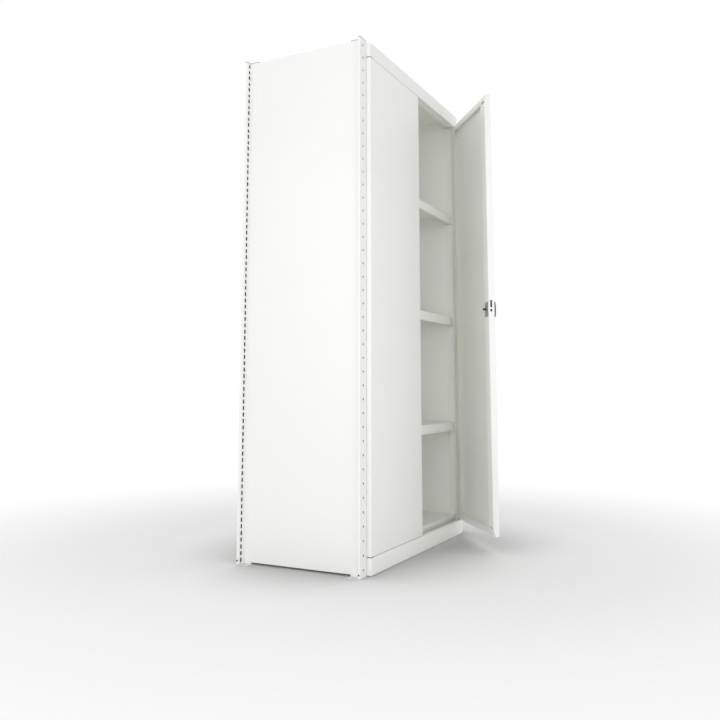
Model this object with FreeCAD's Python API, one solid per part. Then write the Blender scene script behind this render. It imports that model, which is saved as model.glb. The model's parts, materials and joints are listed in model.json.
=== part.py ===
import FreeCAD, Part
import math
import os

# Two-door steel cupboard built on four slotted T posts, in millimetres.
# X runs across the front, -Y is the front and Z is up. The origin is the footprint's middle, on the floor.

# Main frame
POST_HEIGHT = 2000.0
POST_PITCH = 1008.0
DEPTH = 530.0

# Post: a closed T rolled from sheet, with its flange to the front or to the back
POST_SHEET = 1.2
FLANGE_WIDTH = 53.0
FLANGE_DEPTH = 9.0
WEB_THICKNESS = 6.0
POST_DEPTH = 50.0

# Post perforation
SLOT_PITCH = 25.0
SLOT_HEIGHT = 16.0
SLOT_WIDTH = 10.0
SLOT_OFFSET = 11.0
HOLE_PITCH = 50.0
HOLE_SIZE = 7.0

# Foot: a pressed base plate with lugs that hold the post
FOOT_SHEET = 2.0
FOOT_WIDTH = 64.0
FOOT_DEPTH = 55.0
FOOT_NOSE = 0.5
EDGE_LUG_HEIGHT = 22.0
WEB_LUG_START = 20.0
WEB_LUG_WIDTH = 19.0
WEB_LUG_HEIGHT = 33.0
WEB_LUG_CORNER = 7.0
FLOOR_BOLT_RADIUS = 4.5
FLOOR_BOLT_OFFSET = 20.0
FLOOR_BOLT_BACK = 32.0

# Post cap
CAP_THICKNESS = 3.5
CAP_OVERHANG = 1.0
CAP_PLUG_DEPTH = 10.0
CAP_PLUG_GAP = 0.3

# Side panels and back panel
PANEL_SHEET = 1.0
PANEL_LAP = 9.0
PANEL_RETURN = 12.0
PANEL_CLEARANCE = 2.0
PANEL_FLOOR_GAP = 6.0
PANEL_TOP_GAP = 0.5
BACK_GAP = 0.3

# Shelves and the clips that carry them
SHELF_SHEET = 1.2
SHELF_HEIGHT = 40.0
SHELF_LIP = 15.0
SHELF_END_CLEARANCE = 1.0
SHELF_SETBACK = 25.0
SHELF_HOLE_INSET = 35.0
SHELF_HOLE_SIZE = 6.0
SHELF_SLOTS = (1, 18, 38, 58)
TOP_SHELF_SLOT_FROM_TOP = 3
LEDGE_ABOVE_SLOT = 2.5
TOP_LEDGE_ABOVE_SLOT = 17.5
CLIP_SHEET = 2.0
CLIP_WIDTH = 8.0
CLIP_LEDGE = 42.0
CLIP_FOOT = 1.5
HOOK_RISE = 8.0
HOOK_DROP = 4.0
HOOK_GAP = 0.1

# Doors, header and plinth
DOOR_THICKNESS = 17.7
DOOR_SHEET = 1.2
DOOR_EDGE_RADIUS = 1.8
DOOR_GAP = 3.0
DOOR_SIDE_GAP = 1.0
PLINTH_FLOOR_GAP = 1.0
PLINTH_HEIGHT = 61.5
HEADER_HEIGHT = 56.5
HEADER_TOP_DROP = 4.0
HINGE_LIP = 50.0
STILE_PROUD = 8.0
STILE_SLOPE = 28.0
STILE_WINDOW = 9.0
STILE_WINDOW_MARGIN = 3.0
RAIL_LIP = 25.0
REST_ANGLE = 38.9

# Hinge pins with square necks, and the square bushes that turn on them
HINGE_INSET = 9.0
PIN_RADIUS = 4.0
PIN_NECK = 9.0
PIN_NECK_STUB = 3.0
PIN_REACH = 12.0
RUNNING_GAP = 0.05
BUSH_SIDE = 12.0
BUSH_FLANGE = 16.0
BUSH_FLANGE_GAP = 0.3
BUSH_DEPTH = 8.0

# Hanger brackets of the header and the plinth
BRACKET_SHEET = 2.0
BRACKET_SETBACK = 2.0
BRACKET_REACH = 6.0
HEADER_BRACKET_HEIGHT = 36.0
PLINTH_BRACKET_HEIGHT = 20.0

# Lock of the right door
LOCK_HEIGHT = 998.0
LOCK_BACKSET = 25.0
LOCK_THROW = 10.0
MAIN_BOLT_RISE = 7.0
MAIN_BOLT_HEIGHT = 30.0
LATCH_DROP = 11.0
LATCH_HEIGHT = 11.0
BOLT_THICKNESS = 7.6
BOLT_FROM_INNER_FACE = 10.7
BOLT_TONGUE = 14.0
BOLT_MARGIN = 4.0
BOLT_CLEARANCE = 0.4
WINDOW_FRONT_WALL = 3.5
WINDOW_BACK_WALL = 4.5
CASE_SHEET = 1.2
CASE_MARGIN = 5.0
SPINDLE_SIZE = 8.0
SPINDLE_CLEAR = 6.5
FINGER_LENGTH = 14.0
FINGER_WIDTH = 5.0
FINGER_CLEARANCE = 1.0
INNER_PLATE_SHEET = 1.5
INNER_PLATE_WIDTH = 36.0
INNER_PLATE_BELOW = 31.0
INNER_PLATE_ABOVE = 30.0
TURN_BAR_HEIGHT = 8.5
TURN_BAR_REACH = 13.0
TURN_BAR_STANDOFF = 1.0
TURN_BAR_ROOT = 9.0
TURN_BAR_TIP = 13.0
TURN_BAR_CORNER = 2.0

# Handle on the outer face of the right door
HANDLE_LENGTH = 83.0
HANDLE_TOP_LENGTH = 57.0
HANDLE_WIDTH = 20.0
HANDLE_END_WIDTH = 12.0
HANDLE_CROWN = 8.0
HANDLE_UNDERSIDE = 0.8
HANDLE_NECK_RADIUS = 7.0

# Flat shoot bolts inside the left door's stile
SHOOT_WIDTH = 12.0
SHOOT_THICKNESS = 5.0
SHOOT_LENGTH = 140.0
SHOOT_TRAVEL = 14.0
SHOOT_SUNK = 1.0
SHOOT_GAP = 0.4
SHOOT_TAB = 10.0
SHOOT_TAB_PROUD = 7.0
SHOOT_TAB_FROM_TIP = 70.0
SHOOT_SLOT_MARGIN = 1.0
GUIDE_SHEET = 2.0
GUIDE_WIDTH = 24.0
GUIDE_LEG = 16.0
GUIDE_FROM_TIP = 115.0

OVERRUN = 5.0

# Places worked out from the sizes above
POST_X = POST_PITCH / 2
FRONT_Y = -DEPTH / 2
POST_BASE = FOOT_SHEET
POST_TOP = POST_BASE + POST_HEIGHT
SLOT_COUNT = int(POST_HEIGHT // SLOT_PITCH)
HOLE_COUNT = int(POST_HEIGHT // HOLE_PITCH)
FLANGE_BACK = FRONT_Y + FLANGE_DEPTH
WEB_FACE = POST_X - WEB_THICKNESS / 2
WEB_OUTSIDE = POST_X + WEB_THICKNESS / 2
FLANGE_EDGE = POST_X - FLANGE_WIDTH / 2
FACADE = FLANGE_EDGE - DOOR_SIDE_GAP
DOOR_FRONT = FRONT_Y - DOOR_THICKNESS
DOOR_SKIN_BACK = DOOR_FRONT + DOOR_SHEET
FREE_EDGE = DOOR_GAP / 2
STILE_WIDTH = 2 * LOCK_BACKSET
STILE_FACE = FRONT_Y + STILE_PROUD
PLINTH_BOTTOM = POST_BASE + PLINTH_FLOOR_GAP
PLINTH_TOP = PLINTH_BOTTOM + PLINTH_HEIGHT
HEADER_TOP = POST_TOP - HEADER_TOP_DROP
HEADER_BOTTOM = HEADER_TOP - HEADER_HEIGHT
DOOR_BOTTOM = PLINTH_TOP + DOOR_GAP
DOOR_TOP = HEADER_BOTTOM - DOOR_GAP
HINGE_X = FACADE - HINGE_INSET
HINGE_Y = FRONT_Y - DOOR_THICKNESS / 2
LOCK_X = FREE_EDGE + LOCK_BACKSET
BOLT_Y = STILE_FACE - BOLT_FROM_INNER_FACE
BOLT_ROOT = FREE_EDGE + BOLT_TONGUE
BOLT_END = LOCK_X + SPINDLE_CLEAR + LOCK_THROW + WINDOW_BACK_WALL
LATCH_LOW = LOCK_HEIGHT - LATCH_DROP
LATCH_HIGH = LATCH_LOW + LATCH_HEIGHT
MAIN_LOW = LOCK_HEIGHT + MAIN_BOLT_RISE
MAIN_HIGH = MAIN_LOW + MAIN_BOLT_HEIGHT
TURN_BAR_FACE = STILE_FACE + INNER_PLATE_SHEET + TURN_BAR_STANDOFF

V = FreeCAD.Vector
ORIGIN = V(0, 0, 0)
X_AXIS = V(1, 0, 0)
Y_AXIS = V(0, 1, 0)
Z_AXIS = V(0, 0, 1)

# A door's top and bottom edge, each with the way from the edge into the door
DOOR_EDGES = ((DOOR_TOP, -1), (DOOR_BOTTOM, 1))


# Drawing helpers

def outline(points, radii):
    """Closed wire through the points, with an arc at each corner that has a radius."""
    edges = []
    first = None
    last = None
    for i, corner in enumerate(points):
        to_before = (points[i - 1] - corner).normalize()
        to_after = (points[(i + 1) % len(points)] - corner).normalize()
        radius = radii[i]
        half = to_before.getAngle(to_after) / 2
        reach = radius / math.tan(half)
        entry = corner + to_before * reach
        leave = corner + to_after * reach
        if last is not None:
            edges.append(Part.LineSegment(last, entry).toShape())
        if radius:
            inward = (to_before + to_after).normalize()
            middle = corner + inward * (radius / math.sin(half) - radius)
            edges.append(Part.Arc(entry, middle, leave).toShape())
        if first is None:
            first = entry
        last = leave
    edges.append(Part.LineSegment(last, first).toShape())
    return Part.Wire(edges)


def closed_wire(*curves):
    """Wire of lines and arcs that follow one another."""
    return Part.Wire([curve.toShape() for curve in curves])


def prism(points, travel, radii=None):
    """Solid swept from a flat outline along a straight line."""
    return Part.Face(outline(points, radii or [0] * len(points))).extrude(travel)


def plan_prism(points, low, high, radii=None):
    """Outline of (x, y) points, from one height to another."""
    return prism([V(x, y, low) for x, y in points], Z_AXIS * (high - low), radii)


def end_prism(points, low, high, radii=None):
    """Outline of (y, z) points, from one x to another."""
    return prism([V(low, y, z) for y, z in points], X_AXIS * (high - low), radii)


def front_prism(points, low, high, radii=None):
    """Outline of (x, z) points, from one y to another."""
    return prism([V(x, low, z) for x, z in points], Y_AXIS * (high - low), radii)


def block(x0, y0, z0, x1, y1, z1):
    return Part.makeBox(x1 - x0, y1 - y0, z1 - z0, V(x0, y0, z0))


def upright(radius, x, y, end_a, end_b):
    """Round bar along Z between two heights, in either order."""
    low, high = sorted((end_a, end_b))
    return Part.makeCylinder(radius, high - low, V(x, y, low), Z_AXIS)


def upright_bar(width, depth, x, y, end_a, end_b):
    """Rectangular bar along Z between two heights, in either order."""
    low, high = sorted((end_a, end_b))
    return block(x - width / 2, y - depth / 2, low, x + width / 2, y + depth / 2, high)


def through(radius, x, z, low, high):
    """Round bar along Y."""
    return Part.makeCylinder(radius, high - low, V(x, low, z), Y_AXIS)


def through_square(half, x, z, low, high):
    """Square bar along Y, from half its side."""
    return block(x - half, low, z - half, x + half, high, z + half)


def folded(path, sheet):
    """Outline of a sheet folded square along a path, with its thickness on the path's left."""
    shifts = []
    for (a0, b0), (a1, b1) in zip(path, path[1:]):
        length = math.hypot(a1 - a0, b1 - b0)
        shifts.append(((b0 - b1) / length * sheet, (a1 - a0) / length * sheet))
    inside = []
    for i, (a, b) in enumerate(path):
        near = shifts[max(i - 1, 0):i + 1]
        inside.append((a + sum(s[0] for s in near), b + sum(s[1] for s in near)))
    return path + inside[::-1]


def corner_radii(points, rounded, radius):
    """A radius for the points that are rounded, and none for the others."""
    return [radius if point in rounded else 0 for point in points]


def other_side(shape):
    return shape.mirror(ORIGIN, X_AXIS)


def at_back(shape):
    return shape.mirror(ORIGIN, Y_AXIS)


def all_corners(shape):
    return [shape, other_side(shape), at_back(shape), other_side(at_back(shape))]


def group(solids):
    return Part.makeCompound(solids)


# Slots and shelf levels

def slot_height(index):
    """Middle of a post slot above the floor."""
    return POST_BASE + SLOT_PITCH / 2 + index * SLOT_PITCH


def shelf_levels():
    """Slot number and ledge height of each shelf, from the bottom up."""
    levels = [(n, slot_height(n) + LEDGE_ABOVE_SLOT) for n in SHELF_SLOTS]
    top = SLOT_COUNT - TOP_SHELF_SLOT_FROM_TOP
    levels.append((top, slot_height(top) + TOP_LEDGE_ABOVE_SLOT))
    return levels


SHELVES = shelf_levels()
PLINTH_SLOT = 0
HEADER_SLOT = SLOT_COUNT - 1
CLIP_SLOTS = [n for n, ledge in SHELVES]
BRACKET_SLOTS = [PLINTH_SLOT, HEADER_SLOT]


# Posts, caps and feet

def tee(grow):
    """T outline of the front left post, offset outwards, as (x, y) points."""
    half = FLANGE_WIDTH / 2 + grow
    web = WEB_THICKNESS / 2 + grow
    back = FLANGE_DEPTH + grow
    end = POST_DEPTH + grow
    shape = [(-half, -grow), (half, -grow), (half, back), (web, back),
             (web, end), (-web, end), (-web, back), (-half, back)]
    return [(x - POST_X, y + FRONT_Y) for x, y in shape]


def post(inner_slots, hole_count):
    """Hollow T post: a full row of slots and the inner slots in use behind the flange, and holes in front."""
    body = plan_prism(tee(0), POST_BASE, POST_TOP)
    hollow = plan_prism(tee(-POST_SHEET), POST_BASE - OVERRUN, POST_TOP + OVERRUN)
    cuts = []
    slots = [(-SLOT_OFFSET, n) for n in range(SLOT_COUNT)] + [(SLOT_OFFSET, n) for n in inner_slots]
    for offset, n in slots:
        left = offset - POST_X - SLOT_WIDTH / 2
        low = slot_height(n) - SLOT_HEIGHT / 2
        cuts.append(block(left, FLANGE_BACK - FLANGE_DEPTH / 2, low,
                          left + SLOT_WIDTH, FLANGE_BACK + OVERRUN, low + SLOT_HEIGHT))
    for n in range(hole_count):
        height = POST_BASE + HOLE_PITCH / 2 + n * HOLE_PITCH
        cuts.append(through_square(HOLE_SIZE / 2, -POST_X, height,
                                   FRONT_Y - OVERRUN, FRONT_Y + FLANGE_DEPTH / 2))
    return body.cut(hollow).cut(cuts)


def post_cap():
    """T-shaped cap with a plug that stands in the hollow of the post's flange."""
    plate = plan_prism(tee(CAP_OVERHANG), POST_TOP, POST_TOP + CAP_THICKNESS)
    inset = POST_SHEET + CAP_PLUG_GAP
    half = FLANGE_WIDTH / 2 - inset
    plug = block(-POST_X - half, FRONT_Y + inset, POST_TOP - CAP_PLUG_DEPTH,
                 -POST_X + half, FLANGE_BACK - inset, POST_TOP)
    return plate.fuse(plug).removeSplitter()


def foot():
    """Base plate with a lug on each side of the web and one on the flange's outer edge."""
    front = FRONT_Y - FOOT_NOSE
    plate = block(-POST_X - FOOT_WIDTH / 2, front, 0,
                  -POST_X + FOOT_WIDTH / 2, front + FOOT_DEPTH, FOOT_SHEET)
    start = FRONT_Y + WEB_LUG_START
    end = start + WEB_LUG_WIDTH
    shoulder = WEB_LUG_HEIGHT - WEB_LUG_CORNER
    lug_points = [(start, 0), (end, 0), (end, shoulder), (end - WEB_LUG_CORNER, WEB_LUG_HEIGHT),
                  (start + WEB_LUG_CORNER, WEB_LUG_HEIGHT), (start, shoulder)]
    lugs = []
    for side in (-WEB_THICKNESS / 2 - FOOT_SHEET, WEB_THICKNESS / 2):
        low = side - POST_X
        lugs.append(end_prism(lug_points, low, low + FOOT_SHEET))
    edge = -POST_X - FLANGE_WIDTH / 2
    lugs.append(block(edge - FOOT_SHEET, FRONT_Y, 0, edge, FLANGE_BACK, EDGE_LUG_HEIGHT))
    bolt = upright(FLOOR_BOLT_RADIUS, -POST_X - FLOOR_BOLT_OFFSET, FRONT_Y + FLOOR_BOLT_BACK,
                   -OVERRUN, FOOT_SHEET + OVERRUN)
    return plate.fuse(lugs).removeSplitter().cut(bolt)


# Panels

def side_panel():
    """Left sheet, lapped over the outside of both webs and folded in along its top and bottom."""
    outside = -WEB_OUTSIDE - PANEL_SHEET
    low = POST_BASE + PANEL_FLOOR_GAP
    high = POST_TOP - PANEL_TOP_GAP
    path = [(outside + PANEL_RETURN, high), (outside, high), (outside, low), (outside + PANEL_RETURN, low)]
    lap = FRONT_Y + POST_DEPTH - PANEL_LAP
    sheet = front_prism(folded(path, PANEL_SHEET), lap, -lap)
    notch = block(-WEB_OUTSIDE, lap - OVERRUN, low - OVERRUN,
                  outside + PANEL_RETURN + OVERRUN, FRONT_Y + POST_DEPTH + PANEL_CLEARANCE, high + OVERRUN)
    return sheet.cut([notch, at_back(notch)])


def back_panel():
    """Shallow tray between the rear flanges, with its folds facing forwards."""
    half = FLANGE_EDGE - BACK_GAP
    front = -FLANGE_BACK
    back = -FRONT_Y
    low = POST_BASE + PANEL_FLOOR_GAP
    high = POST_TOP - PANEL_TOP_GAP
    path = [(half, front), (half, back), (-half, back), (-half, front)]
    sheet = plan_prism(folded(path, PANEL_SHEET), low, high)
    inner = half - PANEL_SHEET
    ends = [block(-inner, front, z, inner, back - PANEL_SHEET, z + PANEL_SHEET)
            for z in (low, high - PANEL_SHEET)]
    return sheet.fuse(ends).removeSplitter()


# Shelves and clips

def shelf(ledge):
    """Folded tray, open below, with lips along its front and back skirts."""
    half = WEB_FACE - SHELF_END_CLEARANCE
    front = FRONT_Y + SHELF_SETBACK
    top = ledge + SHELF_HEIGHT
    path = [(-front - SHELF_LIP, ledge), (-front, ledge), (-front, top),
            (front, top), (front, ledge), (front + SHELF_LIP, ledge)]
    tray = end_prism(folded(path, SHELF_SHEET), -half, half)
    inner = -front - SHELF_SHEET
    ends = [block(x, -inner, ledge, x + SHELF_SHEET, inner, top) for x in (-half, half - SHELF_SHEET)]
    middle = ledge + SHELF_HEIGHT / 2
    holes = [through_square(SHELF_HOLE_SIZE / 2, x, middle, front - OVERRUN, front + OVERRUN)
             for x in (SHELF_HOLE_INSET - half, half - SHELF_HOLE_INSET)]
    return tray.fuse(ends).removeSplitter().cut(holes)


def hook_points(slot, low, high, back):
    """(y, z) outline of a plate on the flange's back wall with a hook through one slot."""
    neck_low = slot_height(slot) - SLOT_HEIGHT / 2
    neck_high = neck_low + HOOK_RISE
    inside = FLANGE_BACK - POST_SHEET - HOOK_GAP
    tongue = inside - CLIP_SHEET
    return [(FLANGE_BACK, low), (back, low), (back, high), (FLANGE_BACK, high), (FLANGE_BACK, neck_high),
            (tongue, neck_high), (tongue, neck_low - HOOK_DROP), (inside, neck_low - HOOK_DROP),
            (inside, neck_low), (FLANGE_BACK, neck_low)]


def shelf_clip(slot, ledge):
    """Clip hooked into the front left post, with a ledge under the shelf's front lip."""
    low = slot_height(slot) - SLOT_HEIGHT / 2 - CLIP_FOOT
    plate = FLANGE_BACK + CLIP_SHEET
    reach = FLANGE_BACK + CLIP_LEDGE
    points = hook_points(slot, low, ledge, plate)
    points[2:3] = [(plate, ledge - CLIP_SHEET), (reach, ledge - CLIP_SHEET), (reach, ledge)]
    left = SLOT_OFFSET - POST_X - CLIP_WIDTH / 2
    return end_prism(points, left, left + CLIP_WIDTH)


# Header, plinth, their brackets and the hinge pins

def fascia(low, high, hinge_side):
    """Long folded pan with closed ends, pierced on its hinge side for the pins and the shoot bolt."""
    path = [(FRONT_Y, high), (DOOR_FRONT, high), (DOOR_FRONT, low), (FRONT_Y, low)]
    points = folded(path, DOOR_SHEET)
    pan = end_prism(points, -FACADE, FACADE, corner_radii(points, path[1:3], DOOR_EDGE_RADIUS))
    ends = [block(x, DOOR_SKIN_BACK, low + DOOR_SHEET, x + DOOR_SHEET, FRONT_Y, high - DOOR_SHEET)
            for x in (-FACADE, FACADE - DOOR_SHEET)]
    span = (hinge_side - OVERRUN, hinge_side + OVERRUN)
    neck = PIN_NECK + 2 * RUNNING_GAP
    holes = [upright_bar(neck, neck, x, HINGE_Y, *span) for x in (-HINGE_X, HINGE_X)]
    holes.append(shoot_passage(*span))
    return pan.fuse(ends).removeSplitter().cut(holes)


def bracket(slot, low, height):
    """Angle fixed inside the left end of a fascia and hooked into the front left post."""
    inner = -FACADE + DOOR_SHEET
    leg = inner + BRACKET_SHEET
    far = SLOT_OFFSET - POST_X - BRACKET_REACH
    start = DOOR_SKIN_BACK + BRACKET_SETBACK
    back = FLANGE_BACK + BRACKET_SHEET
    angle = plan_prism([(inner, start), (leg, start), (leg, back), (far, back), (far, FLANGE_BACK),
                        (inner, FLANGE_BACK)], low, low + height)
    left = SLOT_OFFSET - POST_X - CLIP_WIDTH / 2
    hook = end_prism(hook_points(slot, low, low + height, back), left, left + CLIP_WIDTH)
    return angle.fuse(hook).removeSplitter()


def hinge_pin(x, seat, way):
    """Round pin whose square neck is fast in a fascia's fold; way points from the fold into the door."""
    stub = seat - way * (DOOR_SHEET + PIN_NECK_STUB)
    shank = upright(PIN_RADIUS, x, HINGE_Y, seat, seat + way * (DOOR_GAP + PIN_REACH))
    neck = upright_bar(PIN_NECK, PIN_NECK, x, HINGE_Y, stub, seat)
    return neck.fuse(shank).removeSplitter()


def hinge_bush(x, edge, way):
    """Square bush in a door's fold, with its flange in the gap; way points from the edge into the door."""
    flange_end = edge - way * (DOOR_GAP - BUSH_FLANGE_GAP)
    sleeve_end = edge + way * BUSH_DEPTH
    flange = upright_bar(BUSH_FLANGE, BUSH_FLANGE, x, HINGE_Y, flange_end, edge)
    sleeve = upright_bar(BUSH_SIDE, BUSH_SIDE, x, HINGE_Y, edge, sleeve_end)
    bore = upright(PIN_RADIUS + RUNNING_GAP, x, HINGE_Y,
                   flange_end - way * OVERRUN, sleeve_end + way * OVERRUN)
    return flange.fuse(sleeve).removeSplitter().cut(bore)


# Doors, drawn closed

def door():
    """Left door: one folded pan with rails, and a deep stile that slopes down to them at its ends."""
    inner_side = -FREE_EDGE - STILE_WIDTH
    path = [(HINGE_LIP - FACADE, FRONT_Y), (-FACADE, FRONT_Y), (-FACADE, DOOR_FRONT),
            (-FREE_EDGE, DOOR_FRONT), (-FREE_EDGE, STILE_FACE), (inner_side, STILE_FACE),
            (inner_side, FRONT_Y - DOOR_SHEET)]
    points = folded(path, DOOR_SHEET)
    pan = plan_prism(points, DOOR_BOTTOM, DOOR_TOP, corner_radii(points, path[2:4], DOOR_EDGE_RADIUS))
    cuts = []
    folds = []
    openings = []
    side = BUSH_SIDE + 2 * RUNNING_GAP
    for edge, way in DOOR_EDGES:
        slope_end = edge + way * STILE_SLOPE
        clear = STILE_FACE + OVERRUN
        cuts.append(end_prism([(FRONT_Y, edge), (STILE_FACE, slope_end), (clear, slope_end),
                               (clear, edge - way * OVERRUN), (FRONT_Y, edge - way * OVERRUN)],
                              inner_side - OVERRUN, -FREE_EDGE + OVERRUN))
        lip_face = FRONT_Y - DOOR_SHEET
        folds.append(end_prism([(lip_face, edge), (FRONT_Y, edge), (STILE_FACE, slope_end),
                                (STILE_FACE - DOOR_SHEET, slope_end)], inner_side, -FREE_EDGE))
        low, high = sorted((slope_end, slope_end + way * STILE_WINDOW))
        openings.append(block(inner_side + STILE_WINDOW_MARGIN, STILE_FACE - OVERRUN, low,
                              -FREE_EDGE - STILE_WINDOW_MARGIN, STILE_FACE + OVERRUN, high))
        inner = edge + way * DOOR_SHEET
        lip = edge + way * RAIL_LIP
        folds.append(end_prism([(DOOR_SKIN_BACK, edge), (FRONT_Y, edge), (FRONT_Y, lip), (lip_face, lip),
                                (lip_face, inner), (DOOR_SKIN_BACK, inner)],
                               -FACADE + DOOR_SHEET, -FREE_EDGE - DOOR_SHEET))
        openings.append(upright_bar(side, side, -HINGE_X, HINGE_Y, edge - OVERRUN, edge + OVERRUN))
    return pan.cut(cuts).fuse(folds).removeSplitter().cut(openings)


def bolt_mouths(side):
    """Cutters for the two bolt mouths in a stile's edge; side is 1 on the right door and -1 on the left."""
    reach = BOLT_THICKNESS / 2 + BOLT_CLEARANCE
    near, far = sorted((side * FREE_EDGE, side * (FREE_EDGE + OVERRUN)))
    return [block(near, BOLT_Y - reach, low - BOLT_CLEARANCE, far, BOLT_Y + reach, high + BOLT_CLEARANCE)
            for low, high in ((LATCH_LOW, LATCH_HIGH), (MAIN_LOW, MAIN_HIGH))]


def left_door():
    cuts = bolt_mouths(-1)
    for edge, way in DOOR_EDGES:
        cuts.append(shoot_passage(edge - OVERRUN, edge + OVERRUN))
        tab = edge + way * (SHOOT_SUNK + SHOOT_TAB_FROM_TIP)
        reach = SHOOT_TAB / 2 + SHOOT_SLOT_MARGIN
        low, high = sorted((tab + way * reach, tab - way * (reach + SHOOT_TRAVEL)))
        cuts.append(block(-LOCK_X - reach, STILE_FACE - OVERRUN, low,
                          -LOCK_X + reach, STILE_FACE + OVERRUN, high))
    return door().cut(cuts)


def right_door():
    cuts = bolt_mouths(1)
    cuts.append(through(HANDLE_NECK_RADIUS + RUNNING_GAP, LOCK_X, LOCK_HEIGHT,
                        DOOR_FRONT - OVERRUN, DOOR_FRONT + OVERRUN))
    cuts.append(spindle_hole(STILE_FACE))
    return other_side(door()).cut(cuts)


def spindle_hole(level):
    """Cutter for the spindle's way through a sheet at one depth."""
    return through_square(SPINDLE_CLEAR, LOCK_X, LOCK_HEIGHT, level - OVERRUN, level + OVERRUN)


def opened(shape):
    """Turns a piece of the right door to the angle at which it stands at rest."""
    turned = shape.copy()
    turned.rotate(V(HINGE_X, HINGE_Y, 0), Z_AXIS, REST_ANGLE)
    return turned


# Shoot bolts and strike plate of the left door

def shoot_passage(end_a, end_b):
    """Cutter for a shoot bolt's way through a sheet."""
    width = SHOOT_WIDTH + 2 * SHOOT_GAP
    depth = SHOOT_THICKNESS + 2 * SHOOT_GAP
    return upright_bar(width, depth, -LOCK_X, HINGE_Y, end_a, end_b)


def shoot_bolt(edge, way):
    """Withdrawn flat bolt with a finger tab that stands through the stile's inner face."""
    tip = edge + way * SHOOT_SUNK
    middle = tip + way * SHOOT_TAB_FROM_TIP
    half = SHOOT_TAB / 2
    bar = upright_bar(SHOOT_WIDTH, SHOOT_THICKNESS, -LOCK_X, HINGE_Y, tip, tip + way * SHOOT_LENGTH)
    tab = through_square(half, -LOCK_X, middle, HINGE_Y, STILE_FACE + SHOOT_TAB_PROUD)
    return bar.fuse(tab).removeSplitter()


def shoot_guide(edge, way):
    """Angle on the back of the door's skin that guides a bolt's inner end."""
    level = edge + way * (SHOOT_SUNK + GUIDE_FROM_TIP)
    foot_end = level - way * GUIDE_LEG
    shelf_face = level - way * GUIDE_SHEET
    skin = DOOR_SKIN_BACK
    leg = skin + GUIDE_SHEET
    reach = HINGE_Y + SHOOT_THICKNESS / 2 + SHOOT_GAP + GUIDE_SHEET
    angle = end_prism([(skin, foot_end), (leg, foot_end), (leg, shelf_face), (reach, shelf_face),
                       (reach, level), (skin, level)], -LOCK_X - GUIDE_WIDTH / 2, -LOCK_X + GUIDE_WIDTH / 2)
    return angle.cut(shoot_passage(level - OVERRUN, level + OVERRUN))


def strike_plate():
    """Plate behind the left stile's edge, with the mouths that take the lock's bolts."""
    edge = -FREE_EDGE - DOOR_SHEET
    half = BOLT_THICKNESS / 2 + CASE_MARGIN
    plate = block(edge - CASE_SHEET, BOLT_Y - half, LATCH_LOW - CASE_MARGIN,
                  edge, BOLT_Y + half, MAIN_HIGH + CASE_MARGIN)
    return plate.cut(bolt_mouths(-1))


# Lock and handle of the right door, drawn closed

def lock_bolt():
    """Bolt plate with two tongues, and a window in which the spindle's finger swings."""
    low = LATCH_LOW - BOLT_MARGIN
    high = MAIN_HIGH + BOLT_MARGIN
    points = [(BOLT_ROOT, low), (BOLT_END, low), (BOLT_END, high), (BOLT_ROOT, high), (BOLT_ROOT, MAIN_HIGH),
              (FREE_EDGE, MAIN_HIGH), (FREE_EDGE, MAIN_LOW), (BOLT_ROOT, MAIN_LOW), (BOLT_ROOT, LATCH_HIGH),
              (FREE_EDGE, LATCH_HIGH), (FREE_EDGE, LATCH_LOW), (BOLT_ROOT, LATCH_LOW)]
    half = BOLT_THICKNESS / 2
    plate = front_prism(points, BOLT_Y - half, BOLT_Y + half)
    window = block(BOLT_ROOT + WINDOW_FRONT_WALL, BOLT_Y - half - OVERRUN, LOCK_HEIGHT - SPINDLE_CLEAR,
                   BOLT_END - WINDOW_BACK_WALL, BOLT_Y + half + OVERRUN,
                   LOCK_HEIGHT + FINGER_LENGTH + FINGER_CLEARANCE)
    return plate.cut(window)


def lock_case():
    """Tray round the bolt plate, seated by its rim on the back of the stile's inner face."""
    edge = FREE_EDGE + DOOR_SHEET
    far = BOLT_END + BOLT_CLEARANCE + CASE_SHEET
    low = LATCH_LOW - BOLT_MARGIN - CASE_MARGIN
    high = MAIN_HIGH + BOLT_MARGIN + CASE_MARGIN
    floor = BOLT_Y - BOLT_THICKNESS / 2 - BOLT_CLEARANCE - CASE_SHEET
    rim = STILE_FACE - DOOR_SHEET
    shell = block(edge, floor, low, far, rim, high)
    hollow = block(edge + CASE_SHEET, floor + CASE_SHEET, low + CASE_SHEET,
                   far - CASE_SHEET, rim + OVERRUN, high - CASE_SHEET)
    return shell.cut([hollow, spindle_hole(floor)] + bolt_mouths(1))


def inner_lock_plate():
    """Cover plate on the inside of the stile, round the spindle."""
    half = INNER_PLATE_WIDTH / 2
    plate = block(LOCK_X - half, STILE_FACE, LOCK_HEIGHT - INNER_PLATE_BELOW,
                  LOCK_X + half, STILE_FACE + INNER_PLATE_SHEET, LOCK_HEIGHT + INNER_PLATE_ABOVE)
    return plate.cut(spindle_hole(STILE_FACE))


def lock_spindle():
    """Square bar from the handle's neck to the inner turn bar, with the finger that throws the bolts."""
    bar = through_square(SPINDLE_SIZE / 2, LOCK_X, LOCK_HEIGHT, DOOR_SKIN_BACK, TURN_BAR_FACE)
    depth = BOLT_THICKNESS / 2
    finger = block(LOCK_X - FINGER_WIDTH / 2, BOLT_Y - depth, LOCK_HEIGHT,
                   LOCK_X + FINGER_WIDTH / 2, BOLT_Y + depth, LOCK_HEIGHT + FINGER_LENGTH)
    return bar.fuse(finger).removeSplitter()


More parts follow.
